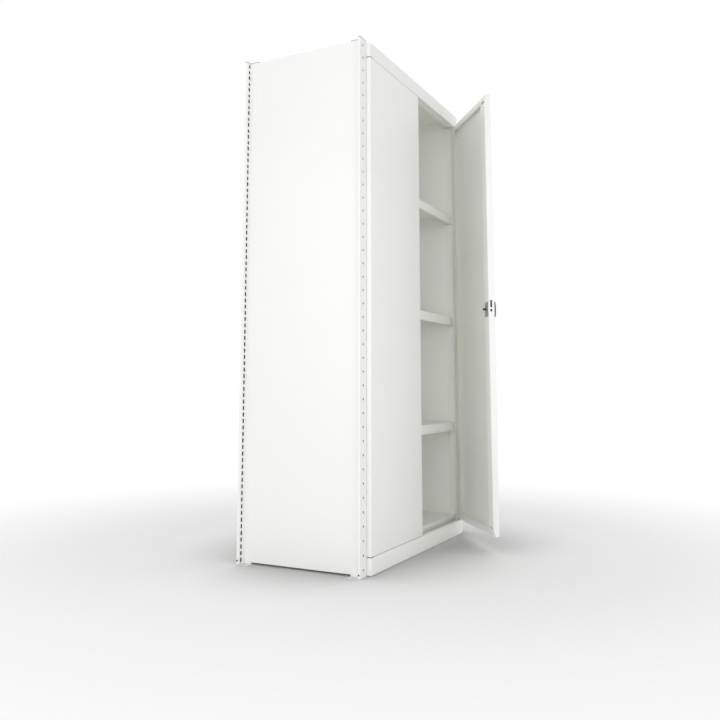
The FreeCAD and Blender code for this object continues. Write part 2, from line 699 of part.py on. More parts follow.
def inner_turn_bar():
    """Grip on the spindle's inner end, wider towards its tip, for letting the door go from inside."""
    root = TURN_BAR_ROOT / 2
    tip = TURN_BAR_TIP / 2
    end = TURN_BAR_FACE + TURN_BAR_REACH
    shoulder = end - TURN_BAR_CORNER
    points = [(LOCK_X - root, TURN_BAR_FACE), (LOCK_X + root, TURN_BAR_FACE), (LOCK_X + tip, shoulder),
              (LOCK_X + tip - TURN_BAR_CORNER, end), (LOCK_X - tip + TURN_BAR_CORNER, end),
              (LOCK_X - tip, shoulder)]
    half = TURN_BAR_HEIGHT / 2
    return plan_prism(points, LOCK_HEIGHT - half, LOCK_HEIGHT + half)


def door_handle():
    """Low grip close to the door's face, sloped down and tapered to its ends, on a round neck."""
    reach = HANDLE_LENGTH / 2
    top = HANDLE_TOP_LENGTH / 2
    under = DOOR_FRONT - HANDLE_UNDERSIDE
    crown = DOOR_FRONT - HANDLE_CROWN
    side = [(under, LOCK_HEIGHT - reach), (under, LOCK_HEIGHT + reach),
            (crown, LOCK_HEIGHT + top), (crown, LOCK_HEIGHT - top)]
    sloped = end_prism(side, LOCK_X - HANDLE_WIDTH, LOCK_X + HANDLE_WIDTH)
    (low_left, low_right), (high_left, high_right) = [
        [V(LOCK_X + x, under, LOCK_HEIGHT + z) for x in (-HANDLE_END_WIDTH / 2, HANDLE_END_WIDTH / 2)]
        for z in (-reach, reach)]
    left, right = [V(LOCK_X + x, under, LOCK_HEIGHT) for x in (-HANDLE_WIDTH / 2, HANDLE_WIDTH / 2)]
    face = closed_wire(Part.LineSegment(low_left, low_right), Part.Arc(low_right, right, high_right),
                       Part.LineSegment(high_right, high_left), Part.Arc(high_left, left, low_left))
    tapered = Part.Face(face).extrude(Y_AXIS * -HANDLE_CROWN)
    neck = through(HANDLE_NECK_RADIUS, LOCK_X, LOCK_HEIGHT, under - HANDLE_UNDERSIDE / 2, DOOR_SKIN_BACK)
    return sloped.common(tapered).fuse(neck).removeSplitter()


# Assembly

def corner_nodes(name, front, rear):
    """One node for each corner, from the front left piece and the rear left piece."""
    return {name + "_front_left": front, name + "_front_right": other_side(front),
            name + "_rear_left": rear, name + "_rear_right": other_side(rear)}


def frame_nodes():
    """Posts with their feet and caps, panels, shelves and clips."""
    nodes = {}
    # The rear posts' holes face the wall and are left out to keep the model light.
    front_post = post(CLIP_SLOTS + BRACKET_SLOTS, HOLE_COUNT)
    nodes.update(corner_nodes("post", front_post, at_back(post(CLIP_SLOTS, 0))))
    nodes.update(corner_nodes("foot", foot(), at_back(foot())))
    nodes.update(corner_nodes("post_cap", post_cap(), at_back(post_cap())))
    nodes["side_panel_left"] = side_panel()
    nodes["side_panel_right"] = other_side(side_panel())
    nodes["back_panel"] = back_panel()
    for number, (slot, ledge) in enumerate(SHELVES, start=1):
        nodes["shelf_%d" % number] = shelf(ledge)
        nodes["shelf_%d_clips" % number] = group(all_corners(shelf_clip(slot, ledge)))
    return nodes


def fascia_nodes():
    """Header and plinth with their brackets and hinge pins."""
    header_low = HEADER_TOP - DOOR_SHEET - HEADER_BRACKET_HEIGHT
    plinth_low = PLINTH_BOTTOM + DOOR_SHEET + BRACKET_SETBACK
    header_bracket = bracket(HEADER_SLOT, header_low, HEADER_BRACKET_HEIGHT)
    plinth_bracket = bracket(PLINTH_SLOT, plinth_low, PLINTH_BRACKET_HEIGHT)
    sides = (-HINGE_X, HINGE_X)
    return {
        "header": fascia(HEADER_BOTTOM, HEADER_TOP, HEADER_BOTTOM),
        "plinth": fascia(PLINTH_BOTTOM, PLINTH_TOP, PLINTH_TOP),
        "header_bracket_left": header_bracket,
        "header_bracket_right": other_side(header_bracket),
        "plinth_bracket_left": plinth_bracket,
        "plinth_bracket_right": other_side(plinth_bracket),
        "header_hinge_pins": group([hinge_pin(x, HEADER_BOTTOM, -1) for x in sides]),
        "plinth_hinge_pins": group([hinge_pin(x, PLINTH_TOP, 1) for x in sides]),
    }


def left_door_nodes():
    (top, down), (bottom, up) = DOOR_EDGES
    return {
        "left_door_panel": left_door(),
        "left_door_bushes": group([hinge_bush(-HINGE_X, edge, way) for edge, way in DOOR_EDGES]),
        "strike_plate": strike_plate(),
        "shoot_bolt_guides": group([shoot_guide(edge, way) for edge, way in DOOR_EDGES]),
        "shoot_bolt_top": shoot_bolt(top, down),
        "shoot_bolt_bottom": shoot_bolt(bottom, up),
    }


def right_door_nodes():
    """Pieces of the right door and its lock, turned to the rest angle."""
    closed = {
        "right_door_panel": right_door(),
        "right_door_bushes": group([hinge_bush(HINGE_X, edge, way) for edge, way in DOOR_EDGES]),
        "lock_case": lock_case(),
        "lock_bolt": lock_bolt(),
        "inner_lock_plate": inner_lock_plate(),
        "lock_spindle": lock_spindle(),
        "inner_turn_bar": inner_turn_bar(),
        "door_handle": door_handle(),
    }
    return {name: opened(shape) for name, shape in closed.items()}


os.makedirs("parts", exist_ok=True)
for nodes in (frame_nodes(), fascia_nodes(), left_door_nodes(), right_door_nodes()):
    for name, shape in nodes.items():
        shape.exportStep("parts/" + name + ".step")
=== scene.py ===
import json
import math

import bmesh
import bpy
from bpy.props import FloatProperty, FloatVectorProperty, IntProperty, PointerProperty
from mathutils import Matrix, Vector


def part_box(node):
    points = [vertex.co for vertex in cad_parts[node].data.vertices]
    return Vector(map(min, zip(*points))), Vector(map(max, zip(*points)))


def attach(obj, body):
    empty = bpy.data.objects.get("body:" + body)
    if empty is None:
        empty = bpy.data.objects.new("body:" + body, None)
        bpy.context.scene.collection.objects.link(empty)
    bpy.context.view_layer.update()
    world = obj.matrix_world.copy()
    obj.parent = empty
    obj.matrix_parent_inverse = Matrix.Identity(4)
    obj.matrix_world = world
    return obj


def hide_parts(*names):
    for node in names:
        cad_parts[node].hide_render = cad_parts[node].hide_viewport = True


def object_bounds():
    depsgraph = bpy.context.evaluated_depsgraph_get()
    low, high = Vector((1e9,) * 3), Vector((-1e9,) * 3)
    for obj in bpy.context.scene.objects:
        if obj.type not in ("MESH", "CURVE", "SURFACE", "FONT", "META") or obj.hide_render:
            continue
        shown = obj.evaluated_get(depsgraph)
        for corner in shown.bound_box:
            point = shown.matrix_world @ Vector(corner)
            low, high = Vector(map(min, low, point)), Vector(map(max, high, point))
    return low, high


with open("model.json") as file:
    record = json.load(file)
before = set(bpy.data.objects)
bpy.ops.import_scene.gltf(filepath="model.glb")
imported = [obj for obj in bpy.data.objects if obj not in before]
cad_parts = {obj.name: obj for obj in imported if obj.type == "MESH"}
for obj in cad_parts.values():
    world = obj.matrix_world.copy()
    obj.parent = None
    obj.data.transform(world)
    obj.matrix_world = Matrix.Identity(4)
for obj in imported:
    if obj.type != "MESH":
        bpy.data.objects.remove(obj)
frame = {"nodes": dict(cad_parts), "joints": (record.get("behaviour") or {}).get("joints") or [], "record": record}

bl_info = {
    "name": "Steel cupboard",
    "version": (1, 0, 0),
    "blender": (4, 5, 0),
    "location": "View3D > Sidebar > Cupboard",
    "description": "Dresses the frame of a two-door steel cupboard with its pieces, finishes and studio",
    "category": "Object",
}

# Places read from the frame, in metres
CAD_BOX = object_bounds()
JOINTS = {joint["name"]: joint for joint in frame["joints"]}
HINGE = Vector(JOINTS["right_door_swing"]["pos_m"])
REST_ANGLE = math.radians(-JOINTS["right_door_swing"]["range_deg"][0])
POST_LOW, POST_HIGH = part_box("post_front_left")
POST_MIDDLE = (POST_LOW.x + POST_HIGH.x) / 2
CAP_LOW, CAP_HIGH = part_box("post_cap_front_left")
FOOT_LOW, FOOT_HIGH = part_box("foot_front_left")
DOOR_LOW, DOOR_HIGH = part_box("left_door_panel")

# Both ends of the doors, each with the way from it into the door
DOOR_ENDS = ((DOOR_HIGH.z, -1), (DOOR_LOW.z, 1))

# The lock's middle on the closed right door
TOP_BOLT_LOW, TOP_BOLT_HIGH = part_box("shoot_bolt_top")
LOCK_X = -(TOP_BOLT_LOW.x + TOP_BOLT_HIGH.x) / 2
LOCK_Z = JOINTS["handle_turn"]["pos_m"][2]

# Ways seen from the front, and scales that put a copy on the other side
RIGHT = Vector((1, 0, 0))
BACK = Vector((0, 1, 0))
UP = Vector((0, 0, 1))
MIRROR_X = Vector((-1, 1, 1))
MIRROR_Y = Vector((1, -1, 1))
CORNERS = ("front_left", "front_right", "rear_left", "rear_right")

# How far a cutter reaches past the face that it cuts, in metres
OVERRUN = 0.004

# Cosine above which a face or an edge counts as lying along a way
STRAIGHT = 0.99

# Angle from which an edge is rounded, and angle up to which it is shaded smooth
SHARP_EDGE = math.radians(30)
SMOOTH_EDGE = math.radians(40)

# Sides of the round holes and pieces
POST_HOLE_SIDES = 16
FLOOR_HOLE_SIDES = 32
SHELF_HOLE_SIDES = 20
NECK_SIDES = 40
RIVET_SIDES = 20
SCREW_SIDES = 24

# Shares of a rivet's radius, for its shoulder and the rim of its hole, and of its dome
RIVET_SHOULDER = 0.45
RIVET_RIM = 0.2
RIVET_CROWN = 0.5
RIVET_EDGE = 0.3

# Shares of a screw's radius, for its shoulder and the arms of its cross, and of its dome
SCREW_SHOULDER = 0.3
SCREW_ARM = 0.6
SCREW_CROSS_FLOOR = 0.4
SCREW_EDGE = 0.2

# Share of a post's wall past which a face counts as inside
INNER_WALL = 0.6

# Share of the running gap that the handle's neck has round it
NECK_CLEARANCE = 0.25

# Rim round the dish in the turn bar's end, as a multiple of the bar's rounding
TURN_BAR_RIM = 1.3


# Sizes and finishes that a user would change

def length(name, description, default):
    """Property for a length in metres."""
    return FloatProperty(name=name, description=description, default=default, min=0, unit="LENGTH",
                         precision=5)


def angle(name, description, degrees):
    """Property for an angle."""
    return FloatProperty(name=name, description=description, default=math.radians(degrees), subtype="ANGLE")


def power(name, description, default):
    """Property for a lamp's power in watts."""
    return FloatProperty(name=name, description=description, default=default, unit="POWER")


def spot(name, description, default):
    """Property for a point in the studio."""
    return FloatVectorProperty(name=name, description=description, default=default, subtype="TRANSLATION")


def colour(name, description, default):
    """Property for a colour."""
    return FloatVectorProperty(name=name, description=description, default=default, size=3, min=0, max=1,
                               subtype="COLOR")


class CupboardSizes(bpy.types.PropertyGroup):
    """Sheet, perforation and fitting sizes in metres."""
    post_sheet: length("Post sheet", "Wall of the rolled posts", 0.0012)
    flange_depth: length("Flange depth", "Depth of a post's flange", 0.009)
    web_thickness: length("Web thickness", "Thickness of a post's web", 0.006)
    post_radius: length("Post radius", "Bend radius along a post's edges", 0.0003)
    slot_pitch: length("Slot pitch", "Step between a post's slots", 0.025)
    slot_height: length("Slot height", "Height of a slot", 0.016)
    slot_width: length("Slot width", "Width of a slot", 0.010)
    slot_offset: length("Slot offset", "From the post's middle to a slot row", 0.011)
    slot_radius: length("Slot radius", "Corner radius of a slot", 0.002)
    hole_pitch: length("Hole pitch", "Step between the holes of a post's face", 0.050)
    hole_radius: length("Hole radius", "Radius of those holes", 0.0045)
    cap_round: length("Cap rounding", "Rounded edge of a post cap", 0.0011)
    foot_sheet: length("Foot sheet", "Sheet of the feet", 0.002)
    foot_corner: length("Foot corner", "Rounded corner of a foot's plate", 0.004)
    foot_round: length("Foot rounding", "Rounded edges of the feet", 0.0004)
    lug_corner: length("Lug corner", "Rounded corner of a foot's web lug", 0.009)
    edge_lug_height: length("Edge lug height", "Height of the lug at the flange's outer edge", 0.022)
    web_lug_start: length("Web lug start", "From a post's face to the lugs beside its web", 0.020)
    web_lug_width: length("Web lug width", "Width of the lugs beside the web", 0.019)
    rivet_radius: length("Rivet radius", "Radius of a rivet's head", 0.0034)
    rivet_dome: length("Rivet dome", "Height of a rivet's head", 0.0013)
    edge_rivet_height: length("Edge rivet height", "Height of the rivet in the edge lug", 0.015)
    web_rivet_height: length("Web rivet height", "Height of the rivet in a web lug", 0.014)
    floor_bolt_radius: length("Floor bolt radius", "Radius of the hole for a floor bolt", 0.0045)
    floor_bolt_offset: length("Floor bolt offset", "From a post's middle to that hole", 0.020)
    floor_bolt_back: length("Floor bolt depth", "From a post's face to that hole", 0.032)
    panel_sheet: length("Panel sheet", "Sheet of the side and back panels", 0.001)
    panel_radius: length("Panel radius", "Bend radius of the panels", 0.0014)
    panel_clearance: length("Panel clearance", "From a post to a panel's folds", 0.002)
    shelf_sheet: length("Shelf sheet", "Sheet of the shelves", 0.0012)
    shelf_radius: length("Shelf radius", "Bend radius of the shelves", 0.002)
    shelf_lip: length("Shelf lip", "Lip under the front and back skirts", 0.015)
    shelf_hole_inset: length("Shelf hole inset", "From a shelf's end to its hole", 0.035)
    shelf_hole_radius: length("Shelf hole radius", "Radius of the holes in a shelf's skirts", 0.003)
    door_sheet: length("Door sheet", "Sheet of the doors, the header and the plinth", 0.0012)
    door_radius: length("Door radius", "Rounded front edges of the doors, the header and the plinth", 0.0018)
    fold_radius: length("Fold radius", "Bend radius of their other folds", 0.0003)
    hinge_lip: length("Hinge lip", "Width of the fold on a door's hinge side", 0.050)
    rail_lip: length("Rail lip", "Height of the folds at a door's top and bottom", 0.025)
    stile_width: length("Stile width", "Width of the deep fold on a door's free side", 0.050)
    stile_proud: length("Stile depth", "How far the stile stands behind the other folds", 0.008)
    stile_slope: length("Stile slope", "Height of the slope at the stile's ends", 0.028)
    stile_window: length("Stile window", "Height of the opening past that slope", 0.009)
    stile_margin: length("Stile margin", "From the stile's edges to that opening", 0.003)
    pin_neck: length("Pin neck", "Side of a hinge pin's square neck", 0.009)
    bush_side: length("Bush side", "Side of a hinge bush", 0.0121)
    running_gap: length("Running gap", "Gap round the bolts", 0.0004)
    shoot_thickness: length("Shoot bolt thickness", "Thickness of the shoot bolts", 0.005)
    shoot_tab: length("Finger tab", "Side of a shoot bolt's finger tab", 0.010)
    shoot_tab_from_tip: length("Finger tab place", "From a shoot bolt's tip to its tab", 0.070)
    spindle_clear: length("Spindle clearance", "Half the side of the holes round the spindle", 0.0065)
    bolt_depth: length("Bolt depth", "From the stile's inner face to the lock bolt's middle", 0.0107)
    bolt_thickness: length("Bolt thickness", "Thickness of the lock bolt", 0.0076)
    latch_drop: length("Latch drop", "From the lock's middle down to the lower tongue's foot", 0.011)
    latch_height: length("Latch height", "Height of the lower tongue", 0.011)
    main_rise: length("Bolt rise", "From the lock's middle up to the upper tongue's foot", 0.007)
    main_height: length("Bolt height", "Height of the upper tongue", 0.030)
    handle_length: length("Handle length", "Length of the grip", 0.083)
    handle_top: length("Handle top", "Length of the grip's level top", 0.057)
    handle_width: length("Handle width", "Width of the grip at its middle", 0.020)
    handle_end_width: length("Handle end width", "Width of the grip at its ends", 0.012)
    handle_crown: length("Handle crown", "How far the grip stands off the door", 0.0114)
    handle_end: length("Handle end", "Thickness of the grip at its ends", 0.0012)
    handle_underside: length("Handle underside", "Gap between the grip and the door", 0.0008)
    handle_round: length("Handle rounding", "Rounded edges of the grip", 0.0008)
    handle_neck: length("Handle neck", "Radius of the neck under the grip", 0.007)
    handle_rings: IntProperty(name="Handle rings", description="Cross sections along the grip",
                              default=12, min=4)
    turn_bar_root: length("Turn bar root", "Width of the turn bar at the spindle", 0.009)
    turn_bar_round: length("Turn bar rounding", "Rounded edges of the turn bar", 0.0015)
    plate_round: length("Plate rounding", "Rounded edges of the lock plate", 0.0005)
    screw_radius: length("Screw radius", "Radius of the lock plate's screws", 0.0032)
    screw_dome: length("Screw dome", "Height of a screw's head", 0.0008)
    screw_reach: length("Screw reach", "From the lock's middle up and down to a screw", 0.023)
    screw_cross: length("Screw cross", "Width of the cross in a screw's head", 0.0009)


class CupboardFinishes(bpy.types.PropertyGroup):
    """Colours of the paint, metals and plastics."""
    paint: colour("Paint", "White powder coat", (0.952, 0.9555, 0.9335))
    paint_shade: colour("Paint shade", "Faint unevenness of the powder coat", (0.938, 0.9415, 0.9195))
    zinc: colour("Zinc", "Bright zinc plate", (0.76, 0.77, 0.77))
    zinc_shade: colour("Zinc shade", "Dull patches of the zinc", (0.66, 0.67, 0.67))
    cap: colour("Cap", "Grey cap plastic", (0.55, 0.555, 0.55))
    bush: colour("Bush", "Dark nylon of the hinge bushes", (0.06, 0.06, 0.06))
    bolt: colour("Bolt", "Dark steel of the lock bolt", (0.07, 0.07, 0.072))
    plate: colour("Plate", "Dull steel of the lock plate", (0.56, 0.56, 0.57))
    # Steel inside the posts: bare steel, made this dark as painted shade in their hollow.
    bare: colour("Bare steel", "Unpainted inside of the posts", (0.14, 0.14, 0.14))
    # Foot colour: painted shade on the feet close to the floor, where they stand in contact shadow.
    foot: colour("Foot", "Scuffed coat of the feet close to the floor", (0.71, 0.715, 0.70))
    black: colour("Black", "Black coat of the handle", (0.025, 0.025, 0.027))
    rivet: colour("Rivet", "Dark steel of the rivets", (0.12, 0.12, 0.12))


class CupboardStudio(bpy.types.PropertyGroup):
    """Camera, lamps and floor."""
    camera_place: spot("Camera", "Where the camera stands", (-3.0609, -1.5630, 0.6653))
    camera_yaw: angle("Yaw", "Heading of the camera from the front towards the right", 62.681)
    camera_pitch: angle("Pitch", "How far the camera looks up", 7.217)
    camera_lens: FloatProperty(name="Lens", description="Focal length in millimetres", default=39.06)
    camera_shift: FloatVectorProperty(name="Shift", description="Shift of the frame, in widths", size=2,
                                      default=(0.0031, -0.0977))
    key_power: power("Key power", "Power of the large lamp on the left", 33)
    key_place: spot("Key place", "Where the large lamp stands", (-4.2, -0.6, 2.4))
    key_size: length("Key size", "Side of the large lamp", 3.6)
    fill_power: power("Fill power", "Power of the gridded lamp that looks into the opening", 1.7)
    fill_place: spot("Fill place", "Where that lamp stands", (-2.4, -2.2, 0.9))
    fill_size: length("Fill size", "Side of that lamp", 2.1)
    fill_spread: angle("Fill spread", "How far that lamp's grid lets light spread", 40)
    light_bounces: IntProperty(name="Light bounces", default=24, min=4,
                               description="How often light bounces inside the white cupboard")
    sky_strength: FloatProperty(name="Sky strength", description="Even light from all round", default=0.76)
    floor: colour("Floor", "Pale studio floor", (0.96, 0.96, 0.96))
    # Painted shade on the floor from ambient occlusion: the floor shade beside the cupboard, and a lighter stop
    # under it that lightens the gap below the panels.
    floor_shade: colour("Floor shade", "Floor beside the cupboard", (0.50, 0.50, 0.50))
    floor_shade_under: colour("Floor depth", "Floor under the cupboard", (0.75, 0.75, 0.75))
    shade_bounce: FloatProperty(name="Shade bounce", default=0.6, min=0, max=1,
                                description="Share of that shading which thrown-back light keeps")
    shade_reach: length("Shade reach", "How far round the cupboard the floor is shaded", 0.6)
    fade_start: length("Fade start", "Distance at which the floor starts to fade to white", 0.65)
    fade_end: length("Fade end", "Distance at which the floor is white", 2.6)


# Modelling steps

def clear_selection():
    """Leaves edit mode and deselects everything."""
    if bpy.context.object and bpy.context.object.mode != "OBJECT":
        bpy.ops.object.mode_set(mode="OBJECT")
    bpy.ops.object.select_all(action="DESELECT")


def make_active(piece):
    """Selects one piece alone."""
    clear_selection()
    piece.select_set(True)
    bpy.context.view_layer.objects.active = piece


def settle(piece):
    """Puts a piece's place, turn and scale into its mesh."""
    bpy.ops.object.transform_apply(location=True, rotation=True, scale=True)
    return piece


def name_piece(name):
    """Names the active piece and its mesh."""
    piece = bpy.context.object
    piece.name = name
    piece.data.name = name
    return piece


def block(name, low, high):
    """Cube stretched over a box, left in edit mode."""
    clear_selection()
    low, high = Vector(low), Vector(high)
    bpy.ops.mesh.primitive_cube_add(size=1, location=(low + high) / 2)
    piece = name_piece(name)
    piece.scale = high - low
    settle(piece)
    bpy.ops.object.mode_set(mode="EDIT")
    return piece


def bar(name, radius, start, end, sides):
    """Round bar between two points, left in edit mode."""
    clear_selection()
    start, end = Vector(start), Vector(end)
    bpy.ops.mesh.primitive_cylinder_add(vertices=sides, radius=radius, depth=(end - start).length,
                                        location=(start + end) / 2,
                                        rotation=(end - start).to_track_quat("Z", "Y").to_euler())
    piece = name_piece(name)
    settle(piece)
    bpy.ops.object.mode_set(mode="EDIT")
    return piece


def drill(radius, middle, reach, sides):
    """Round cutter that reaches as far to both sides of its middle."""
    middle = Vector(middle)
    return bar("cutter", radius, middle - reach, middle + reach, sides)


def box_round(middle, *halves):
    """Low and high corners of a box, from its middle and half its sides."""
    return Vector(middle) - Vector(halves), Vector(middle) + Vector(halves)


def pick(piece, kind, test):
    """Selects the faces, edges or vertices of a piece that pass a test of their middle and direction."""
    bpy.ops.mesh.select_mode(type=kind)
    bpy.ops.mesh.select_all(action="DESELECT")
    mesh = bmesh.from_edit_mesh(piece.data)
    mesh.normal_update()
    if kind == "FACE":
        rows = [(face, face.calc_center_median(), face.normal) for face in mesh.faces]
    elif kind == "EDGE":
        rows = [(edge, (edge.verts[0].co + edge.verts[1].co) / 2,
                 (edge.verts[1].co - edge.verts[0].co).normalized()) for edge in mesh.edges]
    else:
        rows = [(vertex, vertex.co, vertex.normal) for vertex in mesh.verts]
    for element, middle, direction in rows:
        if test(middle, direction):
            element.select_set(True)
    mesh.select_flush_mode()
    bmesh.update_edit_mesh(piece.data)


def faces_towards(piece, way, test=None):
    """Selects the faces that look one way, and pass a test of their middle if there is one."""
    pick(piece, "FACE", lambda place, normal: normal.dot(way) > STRAIGHT and (test is None or test(place)))


def sliced(piece, way, axis, places, test=None):
    """Cuts the faces that look one way along planes across an axis, one for each place on it."""
    for place in places:
        faces_towards(piece, way, test)
        bpy.ops.mesh.bisect(plane_co=axis * place, plane_no=axis)


def pull(move):
    """Extrudes what is selected along a line."""
    bpy.ops.mesh.extrude_region_move(TRANSFORM_OT_translate={"value": move})


def drop_faces():
    """Deletes the selected faces."""
    bpy.ops.mesh.delete(type="FACE")


def bevel_edges(radius, segments=4):
    """Rounds the selected edges."""
    bpy.ops.mesh.bevel(offset=radius, segments=segments, affect="EDGES")


def with_modifier(piece, kind, **settings):
    """Adds a modifier and applies it."""
    make_active(piece)
    modifier = piece.modifiers.new(kind.title(), kind)
    for key, value in settings.items():
        setattr(modifier, key, value)
    bpy.ops.object.modifier_apply(modifier=modifier.name)


def rounded(piece, radius, segments=3):
    """Rounds every sharp edge of a piece."""
    with_modifier(piece, "BEVEL", width=radius, segments=segments, limit_method="ANGLE",
                  angle_limit=SHARP_EDGE)


def folded(piece, radius, sheet):
    """Turns an open shell into bent sheet: rounds its folds and gives it its thickness inwards."""
    rounded(piece, radius)
    with_modifier(piece, "SOLIDIFY", thickness=sheet, offset=-1, use_even_offset=True)


def repeated(piece, count, step):
    """Repeats a piece along a line."""
    with_modifier(piece, "ARRAY", count=count, use_relative_offset=False, use_constant_offset=True,
                  constant_offset_displace=step)


def joined(pieces):
    """Joins pieces into the first one."""
    make_active(pieces[0])
    for piece in pieces:
        piece.select_set(True)
    bpy.ops.object.join()
    return pieces[0]


def combined(piece, tool, operation):
    """Boolean of a piece with a tool, which is used up."""
    with_modifier(piece, "BOOLEAN", object=tool, operation=operation, solver="EXACT")
    bpy.data.objects.remove(tool)


def cut_boxes(piece, boxes):
    """Takes boxes out of a piece."""
    combined(piece, joined([block("cutter", low, high) for low, high in boxes]), "DIFFERENCE")


def mirrored(piece, name, scale):
    """Copy with its own mesh on the other side of the cupboard's middle."""
    make_active(piece)
    bpy.ops.object.duplicate()
    copy = name_piece(name)
    copy.scale = scale
    settle(copy)
    bpy.ops.object.mode_set(mode="EDIT")
    bpy.ops.mesh.select_all(action="SELECT")
    bpy.ops.mesh.flip_normals()
    bpy.ops.object.mode_set(mode="OBJECT")
    return copy


def at_corners(piece, stem):
    """The front left piece and its three copies, by corner."""
    make_active(piece)
    name_piece(stem + "_front_left")
    right = mirrored(piece, stem + "_front_right", MIRROR_X)
    rear = mirrored(piece, stem + "_rear_left", MIRROR_Y)
    rear_right = mirrored(rear, stem + "_rear_right", MIRROR_X)
    return dict(zip(CORNERS, (piece, right, rear, rear_right)))


def about_hinge(turn):
    """Matrix that turns the right door about its hinge."""
    return Matrix.Translation(HINGE) @ Matrix.Rotation(turn, 4, "Z") @ Matrix.Translation(-HINGE)


def swung_open(piece):
    """Turns a piece of the closed right door to where the door stands."""
    make_active(piece)
    piece.matrix_world = about_hinge(REST_ANGLE)
    return settle(piece)


def closed_box(node):
    """Box of a right door's piece as it lies when the door is closed."""
    turn = about_hinge(-REST_ANGLE)
    corners = [turn @ vertex.co for vertex in frame["nodes"][node].data.vertices]
    return Vector(map(min, zip(*corners))), Vector(map(max, zip(*corners)))


def dressed(piece, body, slot, *nodes, look=None):
    """Finishes a piece: shading, material, the body that it rides on and the nodes that it stands for."""
    make_active(piece)
    bpy.ops.object.shade_smooth_by_angle(angle=SMOOTH_EDGE)
    piece.data.materials.clear()
    piece.data.materials.append(finish(look or slot))
    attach(piece, body)
    if nodes:
        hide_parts(*nodes)


# Materials of the slots, and of the pieces that have a finish of their own

FINISHES = {
    # The feet's coat carries painted shade close to the floor.
    "white_paint": "white_powder_coat", "foot": "foot_coat", "black_finish": "black_coat",
    "zinc_steel": "zinc_plate", "dark_steel": "bolt_steel", "plate": "plate_steel", "rivet": "rivet_steel",
    # The dark steel inside the posts is painted shade in their hollow.
    "bare": "bare_steel", "cap_plastic": "grey_cap_plastic", "bush_plastic": "dark_nylon",
}

# Least and greatest roughness of the finishes
WHITE_GLOSS = (0.38, 0.5)
FOOT_GLOSS = (0.4, 0.52)
BLACK_GLOSS = (0.3, 0.42)
METAL_GLOSS = (0.28, 0.5)
PLASTIC_GLOSS = (0.42, 0.58)

# Second tone of a finish, as a multiple of its colour
BLACK_TONE = 1.4
METAL_TONE = 0.7
PLASTIC_TONE = 0.94


def feed(tree, node, inputs):
    """Links inputs of a node to sockets, or sets them to values."""
    for name, value in inputs.items():
        if isinstance(value, bpy.types.NodeSocket):
            tree.links.new(value, node.inputs[name])
        else:
            node.inputs[name].default_value = value


def add_node(tree, kind, inputs, **settings):
    """New shader node with its settings and inputs."""
    node = tree.nodes.new("ShaderNode" + kind)
    for key, value in settings.items():
        setattr(node, key, value)
    feed(tree, node, inputs)
    return node


def new_material(name):
    """Nodes of a new material, its Principled shader and the Object coordinates for its textures."""
    material = bpy.data.materials.new(name)
    material.use_nodes = True
    tree = material.node_tree
    return tree, tree.nodes["Principled BSDF"], add_node(tree, "TexCoord", {}).outputs["Object"]


def noise(tree, place, waves, detail=3.0, stretch=(1, 1, 1)):
    """Noise of so many waves to a metre, stretched along the axes."""
    mapped = add_node(tree, "Mapping", {"Vector": place, "Scale": stretch}).outputs["Vector"]
    return add_node(tree, "TexNoise", {"Vector": mapped, "Scale": waves, "Detail": detail}).outputs["Fac"]


def blended(tree, factor, *tints, start=0.35, end=0.65):
    """Colour that runs through some tints, evenly spaced over a stretch of a factor."""
    ramp = add_node(tree, "ValToRGB", {"Fac": factor})
    elements = ramp.color_ramp.elements
    elements[0].position, elements[-1].position = start, end
    for number in range(1, len(tints) - 1):
        elements.new(start + (end - start) * number / (len(tints) - 1))
    for element, tint in zip(elements, tints):
        element.color = (*tint, 1)
    return ramp.outputs["Color"]


def uneven(tree, factor, low, high):
    """Value that wanders between two others."""
    return add_node(tree, "MapRange", {"Value": factor, "To Min": low, "To Max": high}).outputs["Result"]


def bumped(tree, height, strength, distance):
    """Normals of a surface with a fine relief."""
    relief = add_node(tree, "Bump", {"Height": height, "Strength": strength, "Distance": distance})
    return relief.outputs["Normal"]


def toned(tint, share):
    """A colour made darker or lighter."""
    return [value * share for value in tint]


def orange_peel(name, gloss):
    """Sprayed and baked powder, before it has its colour."""
    tree, shader, place = new_material(name)
    peel = noise(tree, place, waves=550.0, detail=2.0)
    feed(tree, shader, {
        "Roughness": uneven(tree, noise(tree, place, waves=60.0), *gloss),
        "Normal": bumped(tree, peel, strength=0.06, distance=0.0004),
        "Specular IOR Level": 0.4,
    })
    return tree, shader, place


def powder_coat(name, base, shade, gloss):
    """Powder coat of a nearly even colour."""
    tree, shader, place = orange_peel(name, gloss)
    feed(tree, shader, {"Base Color": blended(tree, noise(tree, place, waves=3.0), shade, base)})


def shade_painted_coat(name, base, shadow_tint, unshaded_from, gloss):
    """Powder coat with painted shade: grey close to the floor, its own colour higher up."""
    tree, shader, place = orange_peel(name, gloss)
    height = add_node(tree, "SeparateXYZ", {"Vector": place}).outputs["Z"]
    share = add_node(tree, "MapRange", {"Value": height, "From Max": 2 * unshaded_from}).outputs["Result"]
    feed(tree, shader, {"Base Color": blended(tree, share, shadow_tint, base)})


def metal_plate(name, base, shade, metallic=1.0):
    """Plated or plain steel: dull patches and fine drawing marks."""
    tree, shader, place = new_material(name)
    marks = noise(tree, place, waves=300.0, detail=2.0, stretch=(1, 1, 0.05))
    lines = noise(tree, place, waves=900.0, detail=2.0, stretch=(1, 1, 0.04))
    feed(tree, shader, {
        "Base Color": blended(tree, noise(tree, place, waves=90.0, detail=4.0), shade, base),
        "Roughness": uneven(tree, marks, *METAL_GLOSS),
        "Normal": bumped(tree, lines, strength=0.08, distance=0.0002),
        "Metallic": metallic,
    })


